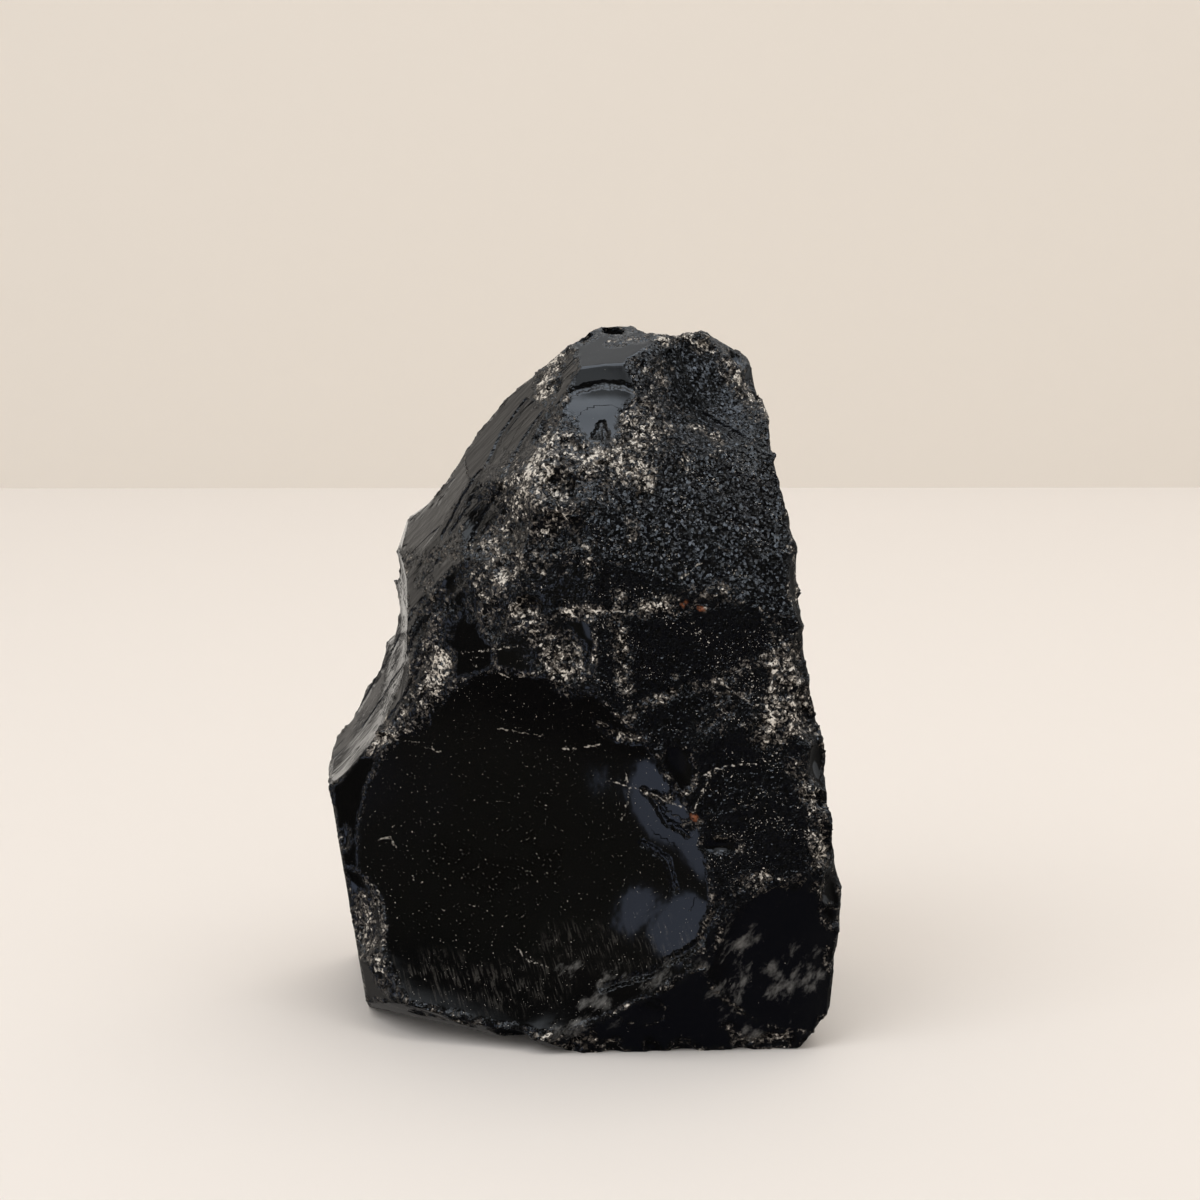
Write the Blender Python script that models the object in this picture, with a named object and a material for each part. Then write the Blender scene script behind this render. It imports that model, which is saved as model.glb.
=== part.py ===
"""Raw obsidian chunk: one broken lump of volcanic glass that stands on a flat fracture.

The block is cut to shape by its flat fractures, and shell-shaped scars are then scooped out of
it, with rows of small flakes along its edges. Tables are in millimetres and degrees, the model
is in metres, +Z is up and the broad scarred front looks toward -Y.
"""
import math
import random
from dataclasses import dataclass

import bmesh
import bpy
from mathutils import Matrix, Vector

NAME = "obsidian_chunk"
MM = 0.001

BLOCK_SIZE = (120.0, 120.0, 240.0)
SCAR_RING = 3.3
SCAR_SPOKES = 28
FLAKE_RING = 1.9
FLAKE_SPOKES = 9
FEWEST_RINGS = 2
FLAKE_LEAN = 0.45

GLASS_COLOUR = (0.008, 0.008, 0.009, 1.0)
GLASS_ROUGHNESS = 0.12
GLASS_IOR = 1.49


@dataclass(frozen=True)
class Facet:
    """A flat fracture: a point that it passes through, and the way it faces."""

    name: str
    through: tuple
    facing: tuple


@dataclass(frozen=True)
class Scar:
    """A shell-shaped scar with an oval rim, and the ripples that spread from where it was struck."""

    name: str
    at: tuple
    facing: tuple
    length: float
    width: float
    depth: float
    roll: float = 0.0
    ripple: float = 0.0
    wave: float = 10.0
    struck: tuple = (0.0, 0.0, 0.0)


@dataclass(frozen=True)
class FlakeRow:
    """A row of small flakes knocked off along an edge, each a little unlike the next."""

    name: str
    outward: tuple
    edge: tuple
    count: int
    longest: float
    deepest: float
    seed: int


FACETS = (
    Facet("front_right", (19, -27.5, 36), (0.10, -0.985, 0.12)),
    Facet("front_left", (5, -28.2, 50), (-0.27, -0.955, 0.08)),
    Facet("front_foot", (15, -30, 13), (0.05, -0.95, -0.30)),
    Facet("shoulder_foot", (20, -22.9, 68), (0.15, -0.94, 0.28)),
    Facet("shoulder_low", (20, -21.5, 72), (0.20, -0.87, 0.44)),
    Facet("shoulder_mid", (21, -17.5, 78.5), (0.25, -0.80, 0.54)),
    Facet("shoulder", (22, -15.5, 81), (0.30, -0.72, 0.62)),
    Facet("brow", (-1, -17.8, 85.5), (-0.12, -0.78, 0.61)),
    Facet("flank_low", (-11.8, -8.2, 88.0), (-0.76, -0.50, 0.42)),
    Facet("flank_top", (-20.1, -8.6, 75.2), (-0.65, -0.43, 0.62)),
    Facet("flank_foot", (-23.0, -2, 73.0), (-0.80, -0.38, 0.46)),
    Facet("cheek", (-19, -16, 63), (-0.60, -0.78, 0.14)),
    Facet("side_left", (-31, -4, 53), (-0.945, -0.10, 0.31)),
    Facet("left_low", (-36.4, -3, 27), (-0.975, -0.10, -0.15)),
    Facet("left_foot", (-32, -14, 8), (-0.80, -0.52, -0.28)),
    Facet("heel", (-20, -20, 3), (-0.28, -0.42, -0.86)),
    Facet("top", (5, -3, 98.9), (-0.10, -0.45, 0.88)),
    Facet("top_right", (24, -4, 92.6), (0.62, -0.20, 0.76)),
    Facet("right_up", (28.6, -10, 80), (0.975, 0.06, 0.20)),
    Facet("right_low", (32.4, -16, 47), (0.982, 0.12, 0.135)),
    Facet("right_foot", (33.7, -14, 14), (0.985, 0.12, -0.10)),
    Facet("right_heel", (33, -14, 4.5), (0.80, 0.05, -0.60)),
    Facet("back_right", (16, 25, 40), (0.42, 0.89, 0.14)),
    Facet("back_left", (-16, 22, 45), (-0.48, 0.86, 0.17)),
    Facet("back_flank", (-12.9, 6.7, 84.1), (-0.58, 0.37, 0.72)),
    Facet("back_top", (6, 10, 91.7), (0.04, 0.62, 0.78)),
    Facet("back_foot", (0, 28, 14), (0.05, 0.96, -0.26)),
    Facet("base", (0, 0, 0), (0, 0, -1)),
)

SCARS = (
    Scar("great_scar", (-12, -25.0, 27), (-0.29, -0.945, 0.10), 90, 53, 8.8, -10,
         ripple=0.06, wave=9.0, struck=(-35, -9, 38)),
    Scar("brow_scar", (2.2, -15.1, 88.6), (-0.06, -0.69, 0.72), 13.5, 10.5, 0.55),
    Scar("crown_scar", (19.5, -8.6, 90.8), (0.38, -0.66, 0.65), 16, 14, 1.9, 30),
    Scar("crown_step", (17.5, -9.0, 90.6), (0.33, -0.70, 0.63), 20, 17, 1.3, 35),
    Scar("eye_scar", (-1.7, -22.4, 80), (-0.12, -0.88, 0.45), 11, 5, 1.4),
    Scar("lip_scar", (-11, -23.4, 57), (-0.30, -0.95, 0.04), 19, 10, 1.5, 6),
    Scar("cheek_scar", (-19.5, -16.6, 66), (-0.62, -0.76, 0.14), 12, 10, 1.5),
    Scar("step_scar", (17, -25.6, 57), (0.08, -0.99, 0.10), 34, 26, 1.1, 20),
    Scar("arc_scar", (20, -27.2, 41), (0.12, -0.985, 0.12), 26, 14, 0.9, 24),
    Scar("corner_scar", (27.5, -27.6, 13), (0.20, -0.97, -0.05), 22, 26, 1.8),
    Scar("toe_scar", (9, -29.6, 7), (0.0, -0.93, -0.36), 18, 11, 1.3, -12),
    Scar("ear_scar", (29.8, -20.5, 67.5), (0.86, -0.50, 0.10), 9, 11, 1.6, 8),
    Scar("bead_scar", (31.0, -23.5, 57), (0.85, -0.50, 0.0), 8, 9, 2.0),
    Scar("rust_scar", (32.0, -24.6, 49), (0.85, -0.50, 0.05), 10, 11, 2.6, -10),
    Scar("knob_scar", (34.0, -25.0, 42), (0.85, -0.50, 0.0), 9, 10, 2.8),
    Scar("heel_nick", (35.9, -25.5, 26.5), (0.88, -0.45, -0.05), 9, 10, 2.2),
    Scar("neck_scar", (30.2, -17, 75), (0.92, -0.35, 0.15), 15, 9, 1.7),
    Scar("left_hollow", (-31.3, -3, 49.5), (-0.93, -0.10, 0.34), 42, 32, 4.3,
         ripple=0.10, wave=8.0, struck=(-26, -6, 66)),
    Scar("shard_scar", (-17.2, -14.6, 72.4), (-0.26, -0.71, 0.65), 16, 9, 1.2, -40),
    Scar("left_nick", (-27.5, -11, 50), (-0.82, -0.52, 0.24), 8, 14, 1.2),
    Scar("left_low_scar", (-36.4, 13, 22), (-0.97, 0.15, -0.08), 30, 40, 3.0, 14),
    Scar("left_heel_scar", (-35.6, 0, 6), (-0.95, -0.05, -0.30), 26, 18, 1.8, -20),
    Scar("flank_scar", (-21, 5, 76), (-0.66, 0.05, 0.75), 20, 13, 0.9, -40),
    Scar("right_dip", (28.6, 2, 78), (0.97, -0.02, 0.22), 44, 27, 2.9, 24),
    Scar("right_great", (30.4, 15, 47), (0.975, 0.16, 0.12), 50, 58, 4.6, 8,
         ripple=0.10, wave=9.0, struck=(29, 18, 74)),
    Scar("right_front_scar", (32.3, -13, 53), (0.982, -0.02, 0.13), 23, 40, 1.7, 14),
    Scar("right_middle_scar", (33.6, -6, 29), (0.985, 0.05, 0.06), 42, 22, 2.0, -24),
    Scar("right_low_scar", (32.8, 4, 8), (0.975, 0.12, -0.18), 44, 24, 2.4, 10),
    Scar("back_great", (18, 24.5, 48), (0.42, 0.89, 0.16), 44, 60, 5.2, 12,
         ripple=0.10, wave=9.0, struck=(18, 16, 76)),
    Scar("back_upper_left", (-14, 20.3, 65), (-0.46, 0.85, 0.22), 40, 44, 4.2, -28,
         ripple=0.08, wave=8.0, struck=(-6, 16, 80)),
    Scar("back_lower_left", (-18, 25.5, 26), (-0.46, 0.88, 0.05), 54, 40, 4.6, 24,
         ripple=0.08, wave=8.0, struck=(-34, 16, 30)),
    Scar("back_spall_high", (0, 19.5, 79), (0.10, 0.82, 0.50), 32, 20, 2.4, 28),
    Scar("back_spall_middle", (4, 27.4, 57), (0.16, 0.97, 0.14), 22, 36, 2.4, -22),
    Scar("back_spall_low", (-3, 30.4, 31), (-0.10, 0.98, 0.0), 32, 22, 2.2, 16),
    Scar("back_foot_scar", (5, 28.6, 9), (0.14, 0.94, -0.26), 52, 25, 2.6, -8),
    Scar("back_flank_scar", (-17, 8, 79), (-0.58, 0.40, 0.70), 30, 24, 2.0, 35),
    Scar("nape_scar", (12, 12, 89.5), (0.22, 0.62, 0.75), 30, 17, 2.3, 18),
)

FLAKE_ROWS = (
    FlakeRow("right_upper_edge", (0.86, -0.50, 0.10), ((28.6, -12, 85), (30.6, -20, 70)), 4, 8, 1.4, 21),
    FlakeRow("right_lower_edge", (0.80, -0.60, 0), ((32.4, -25.5, 44), (34.6, -27, 26), (34.4, -27, 4)),
             9, 8, 1.8, 11),
    FlakeRow("left_edge", (-0.8, -0.6, 0), ((-36, -10, 37), (-34.5, -12, 20), (-31, -17, 6)), 7, 8, 1.3, 12),
    FlakeRow("crest", (-0.45, -0.72, 0.5),
             ((-4.8, -12, 94), (-7.5, -17, 85), (-12, -18.5, 78), (-23, -11, 68)),
             10, 7, 1.3, 13),
    FlakeRow("brow_edge", (-0.1, -0.9, 0.4), ((-7, -20, 82), (2, -21.8, 82), (9, -20.5, 79)), 6, 7, 1.1, 23),
    FlakeRow("chest", (-0.35, -0.92, 0.2),
             ((0, -24.8, 73), (-9, -22.5, 72), (-17, -17.8, 70)), 6, 8, 1.2, 24),
    FlakeRow("cheek_edge", (-0.4, -0.9, 0.1),
             ((-2, -26, 63), (-12, -21.5, 64), (-24, -13, 61)), 6, 8, 1.1, 25),
    FlakeRow("top_edge", (0.1, -0.1, 1.0), ((-2, -3, 98), (10, 0, 99.5), (19, 1, 99), (26, -1, 90)),
             7, 7, 1.2, 14),
    FlakeRow("foot_edge", (0, -0.7, -0.7), ((-28, -15, 2), (-10, -25, 1.5), (8, -28, 1), (30, -26, 1)),
             10, 8, 1.4, 15),
    FlakeRow("scar_rim", (0.1, -1.0, 0),
             ((-14, -23.5, 53), (5, -28, 51), (14, -28.4, 42), (19, -28.2, 30), (16, -30, 14), (4, -30, 8)),
             9, 6, 0.9, 16),
    FlakeRow("back_ridge", (0, 1.0, 0.2), ((2, 21, 86), (1, 28, 55), (0, 31, 22)), 6, 13, 1.3, 17),
    FlakeRow("right_back_edge", (0.8, 0.6, 0.1), ((27, 8, 84), (31, 18, 50), (34, 22, 12)), 7, 14, 1.5, 18),
    FlakeRow("left_back_edge", (-0.8, 0.6, 0.2),
             ((-22, 6, 76), (-31, 13, 45), (-35, 18, 12)), 7, 14, 1.5, 19),
)


def clear_scene():
    """Remove every object, so that the model starts from nothing."""
    for thing in list(bpy.data.objects):
        bpy.data.objects.remove(thing, do_unlink=True)


def new_collection(name):
    """Add an empty collection to the scene."""
    collection = bpy.data.collections.new(name)
    bpy.context.scene.collection.children.link(collection)
    return collection


def new_object(name, bm, collection):
    """Turn a finished bmesh into an object in a collection."""
    mesh = bpy.data.meshes.new(name)
    bm.to_mesh(mesh)
    bm.free()
    thing = bpy.data.objects.new(name, mesh)
    collection.objects.link(thing)
    return thing


def split_off(bm, facet):
    """Cut away everything in front of one flat fracture and close the cut."""
    whole = bm.verts[:] + bm.edges[:] + bm.faces[:]
    cut = bmesh.ops.bisect_plane(bm, geom=whole, plane_co=Vector(facet.through) * MM,
                                 plane_no=Vector(facet.facing), clear_outer=True)
    rim = [part for part in cut["geom_cut"] if isinstance(part, bmesh.types.BMEdge)]
    if rim:
        bmesh.ops.edgeloop_fill(bm, edges=rim)


def broken_block(collection):
    """Break a box down to the chunk's flat fractures."""
    bm = bmesh.new()
    bmesh.ops.create_cube(bm, size=1.0, matrix=Matrix.Diagonal((*BLOCK_SIZE, 1.0)) * MM)
    for facet in FACETS:
        split_off(bm, facet)
    bmesh.ops.recalc_face_normals(bm, faces=bm.faces)
    return new_object(NAME, bm, collection)


def scar_axes(scar):
    """Return the scar's across, up and outward directions."""
    outward = Vector(scar.facing).normalized()
    up = Vector((0, 0, 1)) if abs(outward.z) < 0.95 else Vector((0, 1, 0))
    across = up.cross(outward).normalized()
    turn = Matrix.Rotation(math.radians(scar.roll), 3, outward)
    return turn @ across, turn @ outward.cross(across), outward


def scar_radii(scar):
    """Work out the ellipsoid whose end cap has the scar's oval rim and depth."""
    half_length, half_width = scar.length / 2, scar.width / 2
    inward = (half_length * half_width + scar.depth ** 2) / (2 * scar.depth)
    spread = math.sqrt(1 - (1 - scar.depth / inward) ** 2)
    return half_length / spread, half_width / spread, inward


def add_ripples(bm, scar):
    """Raise rings round the place where the scar was struck."""
    struck = Vector(scar.struck) * MM
    bm.normal_update()
    for vertex in bm.verts:
        turns = (vertex.co - struck).length / (scar.wave * MM)
        vertex.co += vertex.normal * scar.ripple * MM * math.cos(math.tau * turns)


def scar_cutter(scar, ring, spokes, collection):
    """Make the ellipsoid that scoops out one scar, with its pole at the scar's deepest point."""
    across, up, outward = scar_axes(scar)
    radii = scar_radii(scar)
    centre = (Vector(scar.at) + outward * (radii[2] - scar.depth)) * MM
    turned = Matrix((across, up, outward)).transposed().to_4x4()
    place = Matrix.Translation(centre) @ turned @ Matrix.Diagonal((*(r * MM for r in radii), 1.0))
    cap_angle = math.acos(1 - scar.depth / radii[2])
    cap_rings = max(FEWEST_RINGS, round((scar.length + scar.width) / 4 / ring))
    bm = bmesh.new()
    bmesh.ops.create_uvsphere(bm, u_segments=spokes, v_segments=round(cap_rings * math.pi / cap_angle),
                              radius=1.0, matrix=place)
    if scar.ripple:
        add_ripples(bm, scar)
    cutter = new_object(scar.name, bm, collection)
    cutter.hide_render = True
    cutter.display_type = "WIRE"


def along(edge, share):
    """Return the point at a share of the way along an edge's straight stretches."""
    points = [Vector(point) for point in edge]
    lengths = [(end - start).length for start, end in zip(points, points[1:])]
    left = share * sum(lengths)
    for start, end, length in zip(points, points[1:], lengths):
        if left <= length:
            return start.lerp(end, left / length)
        left -= length
    return points[-1]


def flakes(row):
    """Yield the small scars of one row, spread along its edge."""
    dice = random.Random(row.seed)
    for number in range(row.count):
        place = along(row.edge, (number + 0.5 + dice.uniform(-0.35, 0.35)) / row.count)
        lean = Vector([dice.uniform(-FLAKE_LEAN, FLAKE_LEAN) for _ in range(3)])
        facing = Vector(row.outward).normalized() + lean
        length = row.longest * dice.uniform(0.45, 1.1)
        yield Scar(f"{row.name}_{number}", tuple(place), tuple(facing), length,
                   length * dice.uniform(0.35, 0.85),
                   row.deepest * dice.uniform(0.4, 1.0), dice.uniform(-90, 90))


def glass():
    """Make the black glass."""
    material = bpy.data.materials.new("black_glass")
    material.use_nodes = True
    shader = material.node_tree.nodes["Principled BSDF"]
    shader.inputs["Base Color"].default_value = GLASS_COLOUR
    shader.inputs["Roughness"].default_value = GLASS_ROUGHNESS
    shader.inputs["Metallic"].default_value = 0.0
    shader.inputs["IOR"].default_value = GLASS_IOR
    return material


def main():
    """Build the chunk and the cutters that shape it."""
    clear_scene()
    chunk_parts = new_collection(NAME)
    cutters = new_collection("cutters")
    chunk = broken_block(chunk_parts)
    for scar in SCARS:
        scar_cutter(scar, SCAR_RING, SCAR_SPOKES, cutters)
    for row in FLAKE_ROWS:
        for flake in flakes(row):
            scar_cutter(flake, FLAKE_RING, FLAKE_SPOKES, cutters)
    chunk.data.materials.append(glass())
    scoop = chunk.modifiers.new("scars", "BOOLEAN")
    scoop.operation = "DIFFERENCE"
    scoop.solver = "EXACT"
    scoop.operand_type = "COLLECTION"
    scoop.collection = cutters


main()
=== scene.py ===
"""Black volcanic glass chunk: the fine surface, the finish and the studio round it.

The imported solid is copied, skinned with an even fine mesh and settled onto the chunk's own
fractures, flakes and shell-shaped scars. Crushed grain is then raised along its ridges and the
whole is dressed in one glass finish. Tables of the stone are in millimetres and degrees,
and the trails of marks over its front in pixels of the front view.
"""

from __future__ import annotations

import logging
import math
import random
from collections.abc import Iterator, Mapping
from dataclasses import dataclass, field
from enum import Enum

import bmesh
import bpy
import numpy as np
from mathutils import Matrix, Vector

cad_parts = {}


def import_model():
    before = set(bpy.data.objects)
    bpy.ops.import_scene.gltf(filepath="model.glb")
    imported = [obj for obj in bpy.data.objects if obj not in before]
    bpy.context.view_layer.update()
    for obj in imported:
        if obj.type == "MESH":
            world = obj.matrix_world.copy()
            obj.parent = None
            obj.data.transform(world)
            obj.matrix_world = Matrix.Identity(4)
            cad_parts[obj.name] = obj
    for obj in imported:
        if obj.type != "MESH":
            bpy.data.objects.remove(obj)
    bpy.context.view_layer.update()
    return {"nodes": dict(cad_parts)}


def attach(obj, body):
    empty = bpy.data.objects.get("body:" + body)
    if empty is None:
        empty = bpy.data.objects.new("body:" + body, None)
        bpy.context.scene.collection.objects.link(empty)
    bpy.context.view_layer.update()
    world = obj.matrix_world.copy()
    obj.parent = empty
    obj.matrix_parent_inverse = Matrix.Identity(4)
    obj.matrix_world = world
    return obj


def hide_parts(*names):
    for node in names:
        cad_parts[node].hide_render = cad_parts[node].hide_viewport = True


LOG = logging.getLogger("obsidian_chunk")
MM = 0.001
FAR_BEHIND = 0.5
UNSEEN = 1.0
NODE = "obsidian_chunk"
Point = tuple[float, float, float]
Spot = tuple[float, float]
Socket = bpy.types.NodeSocket


class Skin(Enum):
    """How a fracture broke, which sets how its glass looks close up."""

    GLOSSY = "glossy"
    PITTED = "pitted"
    POCKED = "pocked"
    DUSTY = "dusty"
    STREAKED = "streaked"
    FLAKED = "flaked"
    SPECKLED = "speckled"


# a pits share also brings the painted glints, as bright dots, in the finish
SKIN_SHARES = {
    Skin.GLOSSY: {"dust": 0.7},
    Skin.PITTED: {"pits": 1.0, "grit": 1.0},
    Skin.POCKED: {"pits": 0.6, "grit": 0.6},
    Skin.DUSTY: {"dust": 1.0},
    Skin.STREAKED: {"streaks": 1.0},
    Skin.FLAKED: {"crush": 0.06},
    Skin.SPECKLED: {"pits": 1.0, "grit": 0.4},
}


@dataclass(frozen=True)
class Facet:
    """A flat fracture: a point that it passes through, the way it faces and how it broke."""

    name: str
    through: Point
    facing: Point
    skin: Skin = Skin.GLOSSY


@dataclass(frozen=True)
class Scar:
    """A shell-shaped scar with an oval rim, and the ripples that spread from where it was struck."""

    name: str
    at: Point
    facing: Point
    length: float
    width: float
    depth: float
    roll: float = 0.0
    ripple: float = 0.0
    wave: float = 10.0
    struck: Point = (0.0, 0.0, 0.0)
    skin: Skin = Skin.GLOSSY


@dataclass(frozen=True)
class FlakeRow:
    """A row of small flakes knocked off along an edge, each a little unlike the next."""

    name: str
    outward: Point
    edge: tuple[Point, ...]
    count: int
    longest: float
    deepest: float
    seed: int


class Mark(Enum):
    """What a blow or wear left on the glass."""

    CRUSH = "crush"
    SMEAR = "smear"
    LINE = "line"
    CRACK = "crack"
    HACKLE = "hackle"
    RUST = "rust"
    CLEAN = "clean"


@dataclass(frozen=True)
class Trail:
    """A run of marks by the pixels that it passes in the front view, with its breadth in mm if not a line."""

    name: str
    spots: tuple[Spot, ...]
    strength: float
    breadth: float = 0.0


FACETS = (
    Facet("front_right", (19, -27.5, 36), (0.10, -0.985, 0.12), Skin.SPECKLED),
    Facet("front_left", (5, -28.2, 50), (-0.27, -0.955, 0.08), Skin.SPECKLED),
    Facet("front_foot", (15, -30, 13), (0.05, -0.95, -0.30)),
    Facet("shoulder_foot", (20, -22.9, 68), (0.15, -0.94, 0.28), Skin.PITTED),
    Facet("shoulder_low", (20, -21.5, 72), (0.20, -0.87, 0.44), Skin.PITTED),
    Facet("shoulder_mid", (21, -17.5, 78.5), (0.25, -0.80, 0.54), Skin.PITTED),
    Facet("shoulder", (22, -15.5, 81), (0.30, -0.72, 0.62), Skin.PITTED),
    Facet("brow", (-1, -17.8, 85.5), (-0.12, -0.78, 0.61)),
    Facet("flank_low", (-11.8, -8.2, 88.0), (-0.76, -0.50, 0.42), Skin.STREAKED),
    Facet("flank_top", (-20.1, -8.6, 75.2), (-0.65, -0.43, 0.62), Skin.STREAKED),
    Facet("flank_foot", (-23.0, -2, 73.0), (-0.80, -0.38, 0.46), Skin.STREAKED),
    Facet("cheek", (-19, -16, 63), (-0.60, -0.78, 0.14)),
    Facet("side_left", (-31, -4, 53), (-0.945, -0.10, 0.31), Skin.STREAKED),
    Facet("left_low", (-36.4, -3, 27), (-0.975, -0.10, -0.15)),
    Facet("left_foot", (-32, -14, 8), (-0.80, -0.52, -0.28)),
    Facet("heel", (-20, -20, 3), (-0.28, -0.42, -0.86)),
    Facet("top", (5, -3, 98.9), (-0.10, -0.45, 0.88)),
    Facet("top_right", (24, -4, 92.6), (0.62, -0.20, 0.76), Skin.POCKED),
    Facet("right_up", (28.6, -10, 80), (0.975, 0.06, 0.20)),
    Facet("right_low", (32.8, -16, 47), (0.982, 0.12, 0.135)),
    Facet("right_foot", (34.1, -14, 14), (0.985, 0.12, -0.10)),
    Facet("right_heel", (33, -14, 4.5), (0.80, 0.05, -0.60)),
    Facet("back_right", (16, 25, 40), (0.42, 0.89, 0.14)),
    Facet("back_left", (-16, 22, 45), (-0.48, 0.86, 0.17)),
    Facet("back_flank", (-12.9, 6.7, 84.1), (-0.58, 0.37, 0.72)),
    Facet("back_top", (6, 10, 91.7), (0.04, 0.62, 0.78), Skin.PITTED),
    Facet("back_foot", (0, 28, 14), (0.05, 0.96, -0.26)),
    Facet("base", (0, 0, 0), (0, 0, -1)),
)

SCARS = (
    Scar("great_scar", (-12, -25.0, 27), (-0.29, -0.945, 0.10), 90, 53, 8.8, -10,
         ripple=0.03, wave=9.0, struck=(-35, -9, 38), skin=Skin.DUSTY),
    Scar("brow_scar", (2.2, -15.1, 88.6), (-0.06, -0.69, 0.72), 13.5, 10.5, 0.55),
    Scar("crown_scar", (19.5, -8.6, 90.8), (0.38, -0.66, 0.65), 16, 14, 1.9, 30,
         ripple=0.07, wave=2.6, struck=(24, -4, 97), skin=Skin.POCKED),
    Scar("crown_step", (17.5, -9.0, 90.6), (0.33, -0.70, 0.63), 20, 17, 1.3, 35, skin=Skin.POCKED),
    Scar("eye_scar", (-1.7, -22.4, 80), (-0.12, -0.88, 0.45), 11, 5, 1.4),
    Scar("lip_scar", (-11, -23.4, 57), (-0.24, -0.96, 0.08), 19, 10, 0.9, 6),
    Scar("cheek_scar", (-19.5, -16.6, 66), (-0.62, -0.76, 0.14), 12, 10, 1.5),
    Scar("step_scar", (17, -25.6, 57), (0.08, -0.99, 0.10), 34, 26, 1.1, 20, skin=Skin.SPECKLED),
    Scar("arc_scar", (20, -27.2, 41), (0.12, -0.985, 0.12), 26, 14, 0.9, 24, skin=Skin.SPECKLED),
    Scar("corner_scar", (27.5, -27.6, 13), (0.20, -0.97, -0.05), 22, 26, 1.8),
    Scar("toe_scar", (9, -29.6, 7), (0.0, -0.93, -0.36), 18, 11, 1.3, -12),
    Scar("ear_scar", (29.8, -20.5, 67.5), (0.86, -0.50, 0.10), 9, 11, 0.9, 8),
    Scar("bead_scar", (31.0, -23.5, 57), (0.85, -0.50, 0.0), 8, 9, 2.0),
    Scar("rust_scar", (32.0, -24.6, 49), (0.85, -0.50, 0.05), 10, 11, 2.6, -10),
    Scar("knob_scar", (34.0, -25.0, 42), (0.85, -0.50, 0.0), 9, 10, 2.8),
    Scar("heel_nick", (35.9, -25.5, 26.5), (0.88, -0.45, -0.05), 9, 10, 1.2),
    Scar("neck_scar", (30.2, -17, 75), (0.92, -0.35, 0.15), 15, 9, 1.7),
    Scar("left_hollow", (-31.3, -3, 49.5), (-0.93, -0.10, 0.34), 42, 32, 4.3,
         ripple=0.10, wave=8.0, struck=(-26, -6, 66), skin=Skin.STREAKED),
    Scar("shard_scar", (-17.2, -14.6, 72.4), (-0.26, -0.71, 0.65), 16, 9, 1.2, -40, skin=Skin.STREAKED),
    Scar("left_nick", (-27.5, -11, 50), (-0.82, -0.52, 0.24), 8, 14, 1.2),
    Scar("left_low_scar", (-36.4, 13, 22), (-0.97, 0.15, -0.08), 30, 40, 3.0, 14),
    Scar("left_heel_scar", (-35.6, 0, 6), (-0.95, -0.05, -0.30), 26, 18, 1.8, -20),
    Scar("flank_scar", (-21, 5, 76), (-0.66, 0.05, 0.75), 20, 13, 0.9, -40, skin=Skin.STREAKED),
    Scar("right_dip", (28.6, 2, 78), (0.97, -0.02, 0.22), 44, 27, 2.9, 24),
    Scar("right_great", (30.4, 15, 47), (0.975, 0.16, 0.12), 50, 58, 4.6, 8,
         ripple=0.10, wave=9.0, struck=(29, 18, 74)),
    Scar("right_front_scar", (32.3, -13, 53), (0.982, -0.02, 0.13), 23, 40, 1.7, 14),
    Scar("right_middle_scar", (33.6, -6, 29), (0.985, 0.05, 0.06), 42, 22, 2.0, -24),
    Scar("right_low_scar", (32.8, 4, 8), (0.975, 0.12, -0.18), 44, 24, 2.4, 10),
    Scar("back_great", (18, 24.5, 48), (0.42, 0.89, 0.16), 44, 60, 5.2, 12,
         ripple=0.10, wave=9.0, struck=(18, 16, 76)),
    Scar("back_upper_left", (-14, 20.3, 65), (-0.46, 0.85, 0.22), 40, 44, 4.2, -28,
         ripple=0.08, wave=8.0, struck=(-6, 16, 80)),
    Scar("back_lower_left", (-18, 25.5, 26), (-0.46, 0.88, 0.05), 54, 40, 4.6, 24,
         ripple=0.08, wave=8.0, struck=(-34, 16, 30)),
    Scar("back_spall_high", (0, 19.5, 79), (0.10, 0.82, 0.50), 32, 20, 2.4, 28),
    Scar("back_spall_middle", (4, 27.4, 57), (0.16, 0.97, 0.14), 22, 36, 2.4, -22),
    Scar("back_spall_low", (-3, 30.4, 31), (-0.10, 0.98, 0.0), 32, 22, 2.2, 16),
    Scar("back_foot_scar", (5, 28.6, 9), (0.14, 0.94, -0.26), 52, 25, 2.6, -8),
    Scar("back_flank_scar", (-17, 8, 79), (-0.58, 0.40, 0.70), 30, 24, 2.0, 35),
    Scar("nape_scar", (12, 12, 89.5), (0.22, 0.62, 0.75), 30, 17, 2.3, 18, skin=Skin.PITTED),
)

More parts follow.
